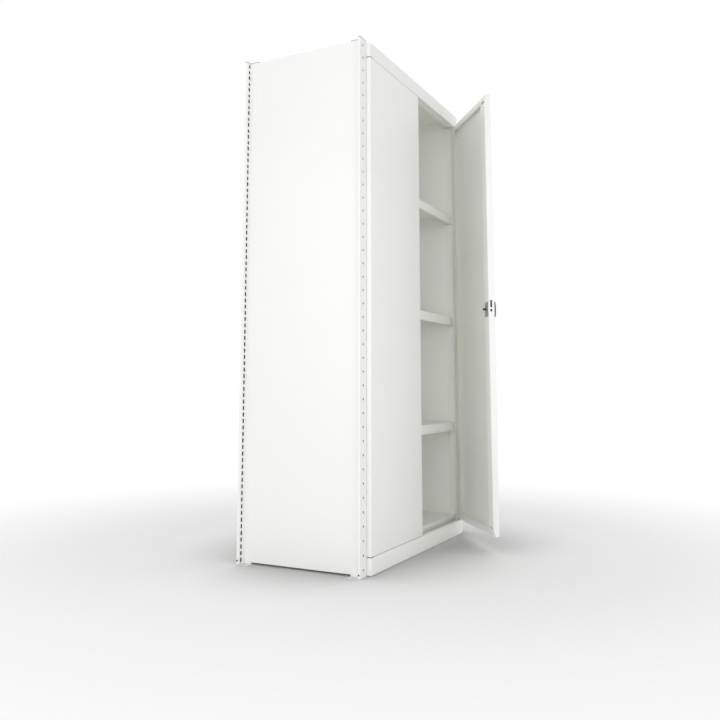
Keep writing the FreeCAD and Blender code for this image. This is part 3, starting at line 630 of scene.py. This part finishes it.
def moulded_plastic(name, base):
    """Plastic with a fine spark-eroded grain."""
    tree, shader, place = new_material(name)
    grain = noise(tree, place, waves=1500.0, detail=2.0)
    feed(tree, shader, {
        "Base Color": blended(tree, noise(tree, place, waves=40.0), toned(base, PLASTIC_TONE), base),
        "Roughness": uneven(tree, noise(tree, place, waves=400.0), *PLASTIC_GLOSS),
        "Normal": bumped(tree, grain, strength=0.1, distance=0.0002),
    })


def make_finishes(colours, foot_sheet):
    """Makes the cupboard's materials."""
    powder_coat("white_powder_coat", colours.paint, colours.paint_shade, WHITE_GLOSS)
    powder_coat("black_coat", colours.black, toned(colours.black, BLACK_TONE), BLACK_GLOSS)
    # The feet's coat has painted shade close to the floor.
    shade_painted_coat("foot_coat", colours.paint, colours.foot, foot_sheet * 2, FOOT_GLOSS)
    metal_plate("zinc_plate", colours.zinc, colours.zinc_shade, metallic=0.2)
    # The dark steel inside the posts is painted shade in their hollow.
    for name in ("rivet", "bolt", "plate", "bare"):
        tint = getattr(colours, name)
        metal_plate(name + "_steel", tint, toned(tint, METAL_TONE))
    moulded_plastic("grey_cap_plastic", colours.cap)
    moulded_plastic("dark_nylon", colours.bush)


def finish(slot):
    """Material of a slot, or of a piece that has a finish of its own."""
    scene = bpy.context.scene
    if FINISHES[slot] not in bpy.data.materials:
        make_finishes(scene.cupboard_finishes, scene.cupboard_sizes.foot_sheet)
    return bpy.data.materials[FINISHES[slot]]


# Clips, brackets, pins, bushes and bolts

class CUPBOARD_OT_fittings(bpy.types.Operator):
    """Finishes for the pieces that keep their own solids"""
    bl_idname = "cupboard.fittings"
    bl_label = "Fittings"

    def execute(self, context):
        slots = {row["node"]: row["material_slot"] for row in frame["record"]["subparts"]}
        for name, piece in frame["nodes"].items():
            piece.data.materials.clear()
            piece.data.materials.append(finish(slots[name]))
        return {"FINISHED"}


# Posts, caps and feet

def flange_back(sizes):
    """Where the flange of a front post ends behind."""
    return POST_LOW.y + sizes.flange_depth


def t_block(name, low, high, back, half_web):
    """Block with a web drawn out of its back, left in edit mode."""
    piece = block(name, low, (high.x, back, high.z))
    sliced(piece, BACK, RIGHT, (POST_MIDDLE - half_web, POST_MIDDLE + half_web))
    faces_towards(piece, BACK, lambda place: abs(place.x - POST_MIDDLE) < half_web)
    pull(BACK * (high.y - back))
    return piece


def post_piece(sizes):
    """Front left post: a flange and a web with open ends and a rolled wall."""
    post = t_block("post", POST_LOW, POST_HIGH, flange_back(sizes), sizes.web_thickness / 2)
    pick(post, "FACE", lambda place, normal: abs(normal.z) > STRAIGHT)
    drop_faces()
    folded(post, sizes.post_radius, sizes.post_sheet)
    return post


def pierce_post(post, sizes):
    """Two rows of slots through the back of the flange, and a row of holes through its front."""
    height = POST_HIGH.z - POST_LOW.z
    slot = (POST_MIDDLE - sizes.slot_offset, flange_back(sizes), POST_LOW.z + sizes.slot_pitch / 2)
    slots = block("cutter", *box_round(slot, sizes.slot_width / 2, OVERRUN, sizes.slot_height / 2))
    pick(slots, "EDGE", lambda place, direction: abs(direction.y) > STRAIGHT)
    bevel_edges(sizes.slot_radius, segments=2)
    repeated(slots, round(height / sizes.slot_pitch), UP * sizes.slot_pitch)
    repeated(slots, 2, RIGHT * 2 * sizes.slot_offset)
    hole = (POST_MIDDLE, POST_LOW.y, POST_LOW.z + sizes.hole_pitch / 2)
    holes = drill(sizes.hole_radius, hole, BACK * OVERRUN, POST_HOLE_SIDES)
    repeated(holes, round(height / sizes.hole_pitch), UP * sizes.hole_pitch)
    combined(post, joined([slots, holes]), "DIFFERENCE")


def hollow_shade_inside(post, sizes):
    """Gives the hollow of a post's flange dark bare steel, darkened as painted shade in the hollow."""
    make_active(post)
    post.data.materials.append(finish("bare"))
    bpy.ops.object.mode_set(mode="EDIT")
    skin = sizes.post_sheet * INNER_WALL
    near = -flange_back(sizes) + skin
    far = -POST_LOW.y - skin
    inner = -POST_HIGH.x + skin
    outer = -POST_LOW.x - skin
    pick(post, "FACE", lambda place, normal: near < abs(place.y) < far and inner < abs(place.x) < outer)
    post.active_material_index = 1
    bpy.ops.object.material_slot_assign()
    bpy.ops.object.mode_set(mode="OBJECT")


class CUPBOARD_OT_posts(bpy.types.Operator):
    """Rolled T posts with slots behind the flange and holes in its face"""
    bl_idname = "cupboard.posts"
    bl_label = "Posts"

    def execute(self, context):
        sizes = context.scene.cupboard_sizes
        post = post_piece(sizes)
        pierce_post(post, sizes)
        for corner, piece in at_corners(post, "slotted_post").items():
            dressed(piece, "cabinet", "white_paint", "post_" + corner)
            # The inside of the post gets dark steel as painted shade.
            hollow_shade_inside(piece, sizes)
        return {"FINISHED"}


def cap_piece(sizes):
    """T-shaped cap over a post, with a plug that stands in the post's hollow."""
    rim = POST_LOW.y - CAP_LOW.y
    low = (CAP_LOW.x, CAP_LOW.y, POST_HIGH.z)
    cap = t_block("cap", low, CAP_HIGH, flange_back(sizes) + rim, sizes.web_thickness / 2 + rim)
    rounded(cap, sizes.cap_round)
    bpy.ops.object.mode_set(mode="EDIT")
    faces_towards(cap, -UP)
    bpy.ops.mesh.inset(thickness=rim + sizes.post_sheet, use_boundary=True)
    pull(UP * (CAP_LOW.z - POST_HIGH.z))
    return cap


class CUPBOARD_OT_caps(bpy.types.Operator):
    """Moulded caps on the posts"""
    bl_idname = "cupboard.caps"
    bl_label = "Post caps"

    def execute(self, context):
        for corner, piece in at_corners(cap_piece(context.scene.cupboard_sizes), "moulded_cap").items():
            dressed(piece, "cabinet", "cap_plastic", "post_cap_" + corner)
        return {"FINISHED"}


def foot_piece(sizes):
    """Base plate of a post with lugs drawn up beside the web and at the flange's outer edge."""
    sheet = sizes.foot_sheet
    half_web = sizes.web_thickness / 2
    web_start = POST_LOW.y + sizes.web_lug_start
    flange = (POST_LOW.y, flange_back(sizes))
    web = (web_start, web_start + sizes.web_lug_width)
    edge_lug = (POST_LOW.x - sheet, POST_LOW.x)
    left_lug = (POST_MIDDLE - half_web - sheet, POST_MIDDLE - half_web)
    right_lug = (POST_MIDDLE + half_web, POST_MIDDLE + half_web + sheet)
    lugs = ((edge_lug, flange, sizes.edge_lug_height), (left_lug, web, FOOT_HIGH.z),
            (right_lug, web, FOOT_HIGH.z))
    foot = block("foot", FOOT_LOW, (FOOT_HIGH.x, FOOT_HIGH.y, FOOT_LOW.z + sheet))
    pick(foot, "EDGE", lambda place, direction: abs(direction.z) > STRAIGHT)
    bevel_edges(sizes.foot_corner)
    sliced(foot, UP, RIGHT, (*edge_lug, *left_lug, *right_lug))
    sliced(foot, UP, BACK, (*flange, *web))
    for (left, right), (front, back), top in lugs:
        faces_towards(foot, UP, lambda place: left < place.x < right and front < place.y < back)
        pull(UP * (top - sheet))
    pick(foot, "EDGE", lambda place, direction: abs(direction.x) > STRAIGHT
         and place.z > FOOT_HIGH.z - sheet / 2)
    bevel_edges(sizes.lug_corner)
    bolt = (POST_MIDDLE - sizes.floor_bolt_offset, POST_LOW.y + sizes.floor_bolt_back, 0)
    combined(foot, drill(sizes.floor_bolt_radius, bolt, UP * OVERRUN, FLOOR_HOLE_SIDES), "DIFFERENCE")
    rounded(foot, sizes.foot_round, segments=2)
    return foot


def rivet_piece(sizes, seat, way):
    """Blind rivet: a low dome with the mandrel's hole in its middle."""
    rivet = bar("rivet", sizes.rivet_radius, seat, Vector(seat) + way * sizes.rivet_dome, RIVET_SIDES)
    faces_towards(rivet, way)
    bpy.ops.mesh.inset(thickness=sizes.rivet_radius * RIVET_SHOULDER)
    pull(way * sizes.rivet_dome * RIVET_CROWN)
    bpy.ops.mesh.inset(thickness=sizes.rivet_radius * RIVET_RIM)
    pull(way * -sizes.rivet_dome)
    rounded(rivet, sizes.rivet_dome * RIVET_EDGE, segments=2)
    return rivet


class CUPBOARD_OT_feet(bpy.types.Operator):
    """Pressed base plates and the rivets that hold them on the posts"""
    bl_idname = "cupboard.feet"
    bl_label = "Feet"

    def execute(self, context):
        sizes = context.scene.cupboard_sizes
        for corner, piece in at_corners(foot_piece(sizes), "pressed_foot").items():
            # The feet get a coat with painted shade close to the floor.
            dressed(piece, "cabinet", "white_paint", "foot_" + corner, look="foot")
        edge_seat = (POST_LOW.x - sizes.foot_sheet, POST_LOW.y + sizes.flange_depth / 2,
                     sizes.edge_rivet_height)
        web_seat = (POST_MIDDLE + sizes.web_thickness / 2 + sizes.foot_sheet,
                    POST_LOW.y + sizes.web_lug_start + sizes.web_lug_width / 2, sizes.web_rivet_height)
        rivets = joined([rivet_piece(sizes, edge_seat, -RIGHT), rivet_piece(sizes, web_seat, RIGHT)])
        copies = at_corners(rivets, "foot_rivets")
        dressed(joined(list(copies.values())), "cabinet", "zinc_steel", look="rivet")
        name_piece("foot_rivets")
        return {"FINISHED"}


# Panels and shelves

def side_panel_piece(sizes):
    """Left side sheet: lapped over the webs, with a fold along its top and bottom between the posts."""
    panel = block("side_sheet_left", *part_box("side_panel_left"))
    pick(panel, "FACE", lambda place, normal: normal.x > STRAIGHT or abs(normal.y) > STRAIGHT)
    drop_faces()
    fold_end = -POST_HIGH.y - sizes.panel_clearance
    for way in (UP, -UP):
        sliced(panel, way, BACK, (-fold_end, fold_end))
    pick(panel, "FACE", lambda place, normal: abs(normal.z) > STRAIGHT and abs(place.y) > fold_end)
    drop_faces()
    folded(panel, sizes.panel_radius, sizes.panel_sheet)
    return panel


def back_panel_piece(sizes):
    """Back sheet: a shallow tray with its folds facing forwards."""
    panel = block("back_sheet", *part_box("back_panel"))
    faces_towards(panel, -BACK)
    drop_faces()
    folded(panel, sizes.panel_radius, sizes.panel_sheet)
    return panel


class CUPBOARD_OT_panels(bpy.types.Operator):
    """Side sheets and the back sheet"""
    bl_idname = "cupboard.panels"
    bl_label = "Panels"

    def execute(self, context):
        sizes = context.scene.cupboard_sizes
        left = side_panel_piece(sizes)
        right = mirrored(left, "side_sheet_right", MIRROR_X)
        dressed(left, "cabinet", "white_paint", "side_panel_left")
        dressed(right, "cabinet", "white_paint", "side_panel_right")
        dressed(back_panel_piece(sizes), "cabinet", "white_paint", "back_panel")
        return {"FINISHED"}


def shelf_piece(sizes, low, high):
    """Folded tray, open below, with lips along its front and back skirts and a hole at each end of them."""
    lips = (low.y + sizes.shelf_lip, high.y - sizes.shelf_lip)
    shelf = block("folded_shelf", low, high)
    sliced(shelf, -UP, BACK, lips)
    faces_towards(shelf, -UP, lambda place: lips[0] < place.y < lips[1])
    drop_faces()
    folded(shelf, sizes.shelf_radius, sizes.shelf_sheet)
    middle = (low + high) / 2
    reach = BACK * (high.y - middle.y + OVERRUN)
    holes = [drill(sizes.shelf_hole_radius, (x, middle.y, middle.z), reach, SHELF_HOLE_SIDES)
             for x in (low.x + sizes.shelf_hole_inset, high.x - sizes.shelf_hole_inset)]
    combined(shelf, joined(holes), "DIFFERENCE")
    return shelf


class CUPBOARD_OT_shelves(bpy.types.Operator):
    """Folded shelves, one modelled and the others copied"""
    bl_idname = "cupboard.shelves"
    bl_label = "Shelves"

    def execute(self, context):
        low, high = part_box("shelf_1")
        first = shelf_piece(context.scene.cupboard_sizes, low, high)
        shelves = {"shelf_1": first}
        for node in ("shelf_2", "shelf_3", "shelf_4", "shelf_5"):
            make_active(first)
            bpy.ops.object.duplicate()
            bpy.context.object.location.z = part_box(node)[0].z - low.z
            shelves[node] = settle(bpy.context.object)
        for node, piece in shelves.items():
            dressed(piece, "cabinet", "white_paint", node)
            name_piece("folded_" + node)
        return {"FINISHED"}


# Header, plinth and doors

def level_hole(x, z, width, depth):
    """Box through a level fold, on the line of the hinges and the shoot bolts."""
    return box_round((x, HINGE.y, z), width / 2, depth / 2, OVERRUN)


def shoot_hole(sizes, z):
    """Box through a level fold for a shoot bolt of the left door."""
    gaps = 2 * sizes.running_gap
    return level_hole(-LOCK_X, z, TOP_BOLT_HIGH.x - TOP_BOLT_LOW.x + gaps, sizes.shoot_thickness + gaps)


def spindle_hole(sizes, front, back):
    """Box round the spindle, through what lies between two depths."""
    half = sizes.spindle_clear
    return box_round((LOCK_X, (front + back) / 2, LOCK_Z), half, (back - front) / 2 + OVERRUN, half)


def stile_window(sizes, end, way):
    """Box through the left stile's inner face, just past the slope at one end of the door."""
    middle = (DOOR_HIGH.x - sizes.stile_width / 2, DOOR_HIGH.y,
              end + way * (sizes.stile_slope + sizes.stile_window / 2))
    return box_round(middle, sizes.stile_width / 2 - sizes.stile_margin, OVERRUN, sizes.stile_window / 2)


def bolt_mouths(sizes, side):
    """Boxes through a free edge for the lock's two tongues; side is 1 on the right door, -1 on the left."""
    edge = -side * DOOR_HIGH.x
    depth = DOOR_HIGH.y - sizes.bolt_depth
    gap = sizes.running_gap
    tongues = ((-sizes.latch_drop, sizes.latch_height), (sizes.main_rise, sizes.main_height))
    return [box_round((edge, depth, LOCK_Z + start + height / 2),
                      OVERRUN, sizes.bolt_thickness / 2 + gap, height / 2 + gap) for start, height in tongues]


def tab_slots(sizes):
    """Boxes through the left stile's inner face, in which the shoot bolts' finger tabs travel."""
    half = sizes.shoot_tab / 2 + sizes.running_gap
    half_travel = JOINTS["shoot_bolt_top_slide"]["range_m"][1] / 2
    tips = ((TOP_BOLT_HIGH.z, 1), (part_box("shoot_bolt_bottom")[0].z, -1))
    return [box_round((-LOCK_X, DOOR_HIGH.y, tip + way * (half_travel - sizes.shoot_tab_from_tip)),
                      half, OVERRUN, half + half_travel) for tip, way in tips]


def round_front(pan, front, radius):
    """Rounds the edges round a pan's front."""
    pick(pan, "EDGE", lambda place, direction: place.y < front + radius / 2)
    bevel_edges(radius)


def fascia_piece(sizes, node, hinge_side):
    """Long folded pan with closed ends, pierced for the hinge pins and a shoot bolt."""
    low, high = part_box(node)
    pan = block(node + "_pan", low, high)
    faces_towards(pan, BACK)
    drop_faces()
    round_front(pan, low.y, sizes.door_radius)
    folded(pan, sizes.fold_radius, sizes.door_sheet)
    necks = [level_hole(x, hinge_side, sizes.pin_neck, sizes.pin_neck) for x in (-HINGE.x, HINGE.x)]
    cut_boxes(pan, necks + [shoot_hole(sizes, hinge_side)])
    return pan


class CUPBOARD_OT_fascias(bpy.types.Operator):
    """Header and plinth"""
    bl_idname = "cupboard.fascias"
    bl_label = "Header and plinth"

    def execute(self, context):
        hinge_sides = {"header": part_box("header")[0].z, "plinth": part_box("plinth")[1].z}
        for node, hinge_side in hinge_sides.items():
            pan = fascia_piece(context.scene.cupboard_sizes, node, hinge_side)
            dressed(pan, "cabinet", "white_paint", node)
        return {"FINISHED"}


def door_pan(sizes, name):
    """Closed left door: skin, folds all round, and a deep stile with sloping ends along the free edge."""
    back = DOOR_HIGH.y - sizes.stile_proud
    lip_x = DOOR_LOW.x + sizes.hinge_lip
    stile_x = DOOR_HIGH.x - sizes.stile_width
    low_z = DOOR_LOW.z + sizes.rail_lip
    high_z = DOOR_HIGH.z - sizes.rail_lip
    pan = block(name, DOOR_LOW, (DOOR_HIGH.x, back, DOOR_HIGH.z))
    sliced(pan, BACK, RIGHT, (lip_x, stile_x))
    sliced(pan, BACK, UP, (low_z, high_z), lambda place: place.x < stile_x)
    faces_towards(pan, BACK, lambda place: lip_x < place.x < stile_x and low_z < place.z < high_z)
    drop_faces()
    faces_towards(pan, BACK, lambda place: place.x > stile_x)
    pull(BACK * sizes.stile_proud)
    for end, way in DOOR_ENDS:
        pick(pan, "VERT", lambda place, normal: place.y > back + sizes.stile_proud / 2
             and abs(place.z - end) < sizes.rail_lip + OVERRUN)
        bpy.ops.transform.translate(value=UP * way * sizes.stile_slope)
    round_front(pan, DOOR_LOW.y, sizes.door_radius)
    folded(pan, sizes.fold_radius, sizes.door_sheet)
    bushes = [level_hole(-HINGE.x, z, sizes.bush_side, sizes.bush_side) for z in (DOOR_LOW.z, DOOR_HIGH.z)]
    cut_boxes(pan, bushes + [stile_window(sizes, end, way) for end, way in DOOR_ENDS])
    return pan


class CUPBOARD_OT_doors(bpy.types.Operator):
    """Left door with its bolt slots, and right door with its lock holes"""
    bl_idname = "cupboard.doors"
    bl_label = "Doors"

    def execute(self, context):
        sizes = context.scene.cupboard_sizes
        left = door_pan(sizes, "left_door_pan")
        right = mirrored(left, "right_door_pan", MIRROR_X)
        ends = [shoot_hole(sizes, z) for z in (DOOR_LOW.z, DOOR_HIGH.z)]
        cut_boxes(left, bolt_mouths(sizes, -1) + ends + tab_slots(sizes))
        cut_boxes(right, bolt_mouths(sizes, 1) + [spindle_hole(sizes, DOOR_HIGH.y, DOOR_HIGH.y)])
        neck = drill(sizes.handle_neck + sizes.running_gap * NECK_CLEARANCE, (LOCK_X, DOOR_LOW.y, LOCK_Z),
                     BACK * OVERRUN, NECK_SIDES)
        combined(right, neck, "DIFFERENCE")
        dressed(left, "left_door", "white_paint", "left_door_panel")
        dressed(swung_open(right), "right_door", "white_paint", "right_door_panel")
        return {"FINISHED"}


# Handle and lock

def handle_piece(sizes):
    """Low grip on a neck: a bar in rings that are widened towards its middle and lowered at its ends."""
    reach = sizes.handle_length / 2
    slope = reach - sizes.handle_top / 2
    half = sizes.handle_end_width / 2
    under = DOOR_LOW.y - sizes.handle_underside
    crown = DOOR_LOW.y - sizes.handle_crown
    grip = block("low_handle", (LOCK_X - half, crown, LOCK_Z - reach), (LOCK_X + half, under, LOCK_Z + reach))
    pick(grip, "EDGE", lambda place, direction: abs(direction.z) > STRAIGHT)
    bpy.ops.mesh.subdivide(number_cuts=sizes.handle_rings)
    thinnest = sizes.handle_end / (under - crown)
    near = reach / (4 * sizes.handle_rings)
    for ring in range(sizes.handle_rings + 2):
        share = 2 * ring / (sizes.handle_rings + 1) - 1
        level = LOCK_Z + share * reach
        wide = 1 + (1 - share * share) * (sizes.handle_width / sizes.handle_end_width - 1)
        tall = min(1, thinnest + (1 - thinnest) * (reach - abs(share) * reach) / slope)
        pick(grip, "VERT", lambda place, normal: abs(place.z - level) < near)
        bpy.ops.transform.resize(value=(wide, tall, 1), center_override=(LOCK_X, under, level))
    rounded(grip, sizes.handle_round)
    neck = bar("neck", sizes.handle_neck, (LOCK_X, under - sizes.handle_underside, LOCK_Z),
               (LOCK_X, DOOR_LOW.y + sizes.door_sheet, LOCK_Z), NECK_SIDES)
    combined(grip, neck, "UNION")
    return grip


def turn_bar_piece(sizes):
    """Grip on the spindle's inner end, wider towards its tip and dished at its end."""
    low, high = closed_box("inner_turn_bar")
    turn_bar = block("turn_bar", low, high)
    faces_towards(turn_bar, -BACK)
    bpy.ops.transform.resize(value=(sizes.turn_bar_root / (high.x - low.x), 1, 1),
                             center_override=(LOCK_X, low.y, LOCK_Z))
    faces_towards(turn_bar, BACK)
    bpy.ops.mesh.inset(thickness=sizes.turn_bar_round * TURN_BAR_RIM)
    pull(BACK * (-sizes.turn_bar_round / 2))
    rounded(turn_bar, sizes.turn_bar_round / 2)
    return turn_bar


def lock_plate_piece(sizes):
    """Cover plate round the spindle."""
    low, high = closed_box("inner_lock_plate")
    plate = block("lock_plate", low, high)
    cut_boxes(plate, [spindle_hole(sizes, low.y, high.y)])
    rounded(plate, sizes.plate_round, segments=2)
    return plate


def plate_screw(sizes, level):
    """Raised screw head with a cross, on the lock plate."""
    seat = Vector((LOCK_X, closed_box("inner_lock_plate")[1].y, level))
    rise = BACK * sizes.screw_dome
    screw = bar("plate_screw", sizes.screw_radius, seat, seat + rise / 2, SCREW_SIDES)
    faces_towards(screw, BACK)
    bpy.ops.mesh.inset(thickness=sizes.screw_radius * SCREW_SHOULDER)
    pull(rise / 2)
    rounded(screw, sizes.screw_dome * SCREW_EDGE, segments=2)
    arm = Vector((sizes.screw_radius * SCREW_ARM, 0, sizes.screw_cross / 2))
    for reach in (arm, arm.zyx):
        cut_boxes(screw, [(seat - reach + rise * SCREW_CROSS_FLOOR, seat + reach + rise * 2)])
    return screw


class CUPBOARD_OT_lock(bpy.types.Operator):
    """Handle, lock plate and inner turn bar"""
    bl_idname = "cupboard.lock"
    bl_label = "Handle and lock"

    def execute(self, context):
        sizes = context.scene.cupboard_sizes
        dressed(swung_open(handle_piece(sizes)), "handle", "black_finish", "door_handle")
        dressed(swung_open(turn_bar_piece(sizes)), "handle", "black_finish", "inner_turn_bar")
        plate = swung_open(lock_plate_piece(sizes))
        dressed(plate, "right_door", "dark_steel", "inner_lock_plate", look="plate")
        screws = [plate_screw(sizes, LOCK_Z + way * sizes.screw_reach) for way in (-1, 1)]
        dressed(swung_open(joined(screws)), "right_door", "zinc_steel")
        name_piece("lock_plate_screws")
        return {"FINISHED"}


# Stage

WHITE = (1, 1, 1, 1)

# Floor: side in metres, surface, and share of open sky above it from which it has its plain colour, free of
# painted shade
FLOOR_SIDE = 60
FLOOR_ROUGHNESS = 0.9
FLOOR_SPECULAR = 0.1
OPEN_FLOOR = 0.92

# Camera: width of the sensor in millimetres, and how far it sees in metres
SENSOR_WIDTH = 36
CLIP_END = 100


def seen_ray(tree):
    """One where the camera, a reflection or a view through glass meets a surface, else zero."""
    rays = add_node(tree, "LightPath", {})
    seen = rays.outputs["Is Camera Ray"]
    for ray in ("Is Glossy Ray", "Is Transmission Ray"):
        either = add_node(tree, "Math", {0: seen, 1: rays.outputs[ray]}, operation="MAXIMUM")
        seen = either.outputs["Value"]
    return seen


def show_mix(tree, output, factor, first, second):
    """Shows a mix of two shaders."""
    mix = add_node(tree, "MixShader", {"Fac": factor, 1: first, 2: second})
    feed(tree, tree.nodes[output], {"Surface": mix.outputs["Shader"]})


class CUPBOARD_OT_stage(bpy.types.Operator):
    """Pale floor, white surroundings, soft lamps and the camera"""
    bl_idname = "cupboard.stage"
    bl_label = "Stage"

    def execute(self, context):
        studio = context.scene.cupboard_studio
        self.add_floor(studio)
        self.add_sky(context.scene, studio)
        self.add_lamps(studio)
        self.add_camera(context.scene, studio)
        context.scene.view_settings.view_transform = "Standard"
        context.scene.cycles.max_bounces = studio.light_bounces
        context.scene.cycles.diffuse_bounces = studio.light_bounces
        return {"FINISHED"}

    def add_floor(self, studio):
        """Matt floor with painted shade from ambient occlusion close round and under the cupboard, that fades to
        plain white far away.
        """
        clear_selection()
        bpy.ops.mesh.primitive_plane_add(size=FLOOR_SIDE)
        floor = name_piece("studio_floor")
        tree, shader, place = new_material("studio_floor")
        looked_at = seen_ray(tree)
        openness = add_node(tree, "AmbientOcclusion", {"Distance": studio.shade_reach}).outputs["AO"]
        shaded = blended(tree, openness, studio.floor_shade_under, studio.floor_shade, studio.floor,
                         start=0, end=OPEN_FLOOR)
        # The camera sees the full painted shade; bounced light keeps only a share of it.
        share = uneven(tree, looked_at, studio.shade_bounce, 1)
        tint = add_node(tree, "MixRGB", {"Fac": share, "Color1": (*studio.floor, 1), "Color2": shaded})
        feed(tree, shader, {"Base Color": tint.outputs["Color"], "Roughness": FLOOR_ROUGHNESS,
                            "Specular IOR Level": FLOOR_SPECULAR})
        distance = add_node(tree, "VectorMath", {"Vector": place}, operation="LENGTH").outputs["Value"]
        fade = add_node(tree, "MapRange", {"Value": distance, "From Min": studio.fade_start,
                                           "From Max": studio.fade_end}, interpolation_type="SMOOTHSTEP")
        faded = add_node(tree, "Math", {0: fade.outputs["Result"], 1: looked_at}, operation="MULTIPLY")
        white = add_node(tree, "Emission", {"Color": WHITE})
        show_mix(tree, "Material Output", faded.outputs["Value"], shader.outputs["BSDF"],
                 white.outputs["Emission"])
        floor.data.materials.append(bpy.data.materials["studio_floor"])

    def add_sky(self, scene, studio):
        """Even light, and plain white where the camera or a reflection looks past the floor."""
        world = bpy.data.worlds.new("studio_sky")
        scene.world = world
        world.use_nodes = True
        tree = world.node_tree
        light = tree.nodes["Background"]
        feed(tree, light, {"Color": WHITE, "Strength": studio.sky_strength})
        white = add_node(tree, "Background", {"Color": WHITE, "Strength": 1.0})
        show_mix(tree, "World Output", seen_ray(tree), light.outputs["Background"],
                 white.outputs["Background"])

    def add_lamps(self, studio):
        """Large soft lamp on the left, and a gridded one that looks into the open half."""
        middle = (CAD_BOX[0] + CAD_BOX[1]) / 2
        self.area_lamp("key_lamp", studio.key_place, middle, studio.key_power, studio.key_size)
        opening = Vector((HINGE.x, HINGE.y, studio.fill_place[2]))
        fill = self.area_lamp("fill_lamp", studio.fill_place, opening, studio.fill_power, studio.fill_size)
        fill.spread = studio.fill_spread

    def area_lamp(self, name, place, target, watts, side):
        """Square lamp that looks at a target."""
        clear_selection()
        bpy.ops.object.light_add(type="AREA", location=place)
        lamp = name_piece(name)
        lamp.rotation_euler = (target - lamp.location).to_track_quat("-Z", "Y").to_euler()
        lamp.data.energy = watts
        lamp.data.size = side
        return lamp.data

    def add_camera(self, scene, studio):
        """Low camera on the left that looks a little upwards."""
        clear_selection()
        bpy.ops.object.camera_add(location=studio.camera_place,
                                  rotation=(math.pi / 2 + studio.camera_pitch, 0, -studio.camera_yaw))
        camera = name_piece("camera")
        camera.data.sensor_width = SENSOR_WIDTH
        camera.data.lens = studio.camera_lens
        camera.data.shift_x, camera.data.shift_y = studio.camera_shift
        camera.data.clip_end = CLIP_END
        scene.camera = camera


# Panel and registration

class CUPBOARD_PT_sidebar(bpy.types.Panel):
    """Buttons that build the cupboard piece by piece"""
    bl_idname = "CUPBOARD_PT_sidebar"
    bl_label = "Steel cupboard"
    bl_space_type = "VIEW_3D"
    bl_region_type = "UI"
    bl_category = "Cupboard"

    def draw(self, context):
        for operator in OPERATORS:
            self.layout.operator(operator.bl_idname)
        for group in GROUPS:
            values = getattr(context.scene, group)
            box = self.layout.box()
            for name in values.bl_rna.properties.keys():
                if name not in ("rna_type", "name"):
                    box.prop(values, name)


GROUPS = {"cupboard_sizes": CupboardSizes, "cupboard_finishes": CupboardFinishes,
          "cupboard_studio": CupboardStudio}
OPERATORS = (CUPBOARD_OT_fittings, CUPBOARD_OT_posts, CUPBOARD_OT_caps, CUPBOARD_OT_feet, CUPBOARD_OT_panels,
             CUPBOARD_OT_shelves, CUPBOARD_OT_fascias, CUPBOARD_OT_doors, CUPBOARD_OT_lock, CUPBOARD_OT_stage)


def register():
    for kind in (*GROUPS.values(), *OPERATORS, CUPBOARD_PT_sidebar):
        bpy.utils.register_class(kind)
    for name, kind in GROUPS.items():
        setattr(bpy.types.Scene, name, PointerProperty(type=kind))


def unregister():
    for name in GROUPS:
        delattr(bpy.types.Scene, name)
    for kind in (CUPBOARD_PT_sidebar, *OPERATORS, *GROUPS.values()):
        bpy.utils.unregister_class(kind)


def main():
    register()
    bpy.ops.cupboard.fittings()
    bpy.ops.cupboard.posts()
    bpy.ops.cupboard.caps()
    bpy.ops.cupboard.feet()
    bpy.ops.cupboard.panels()
    bpy.ops.cupboard.shelves()
    bpy.ops.cupboard.fascias()
    bpy.ops.cupboard.doors()
    bpy.ops.cupboard.lock()
    bpy.ops.cupboard.stage()


if __name__ == "__main__":
    main()
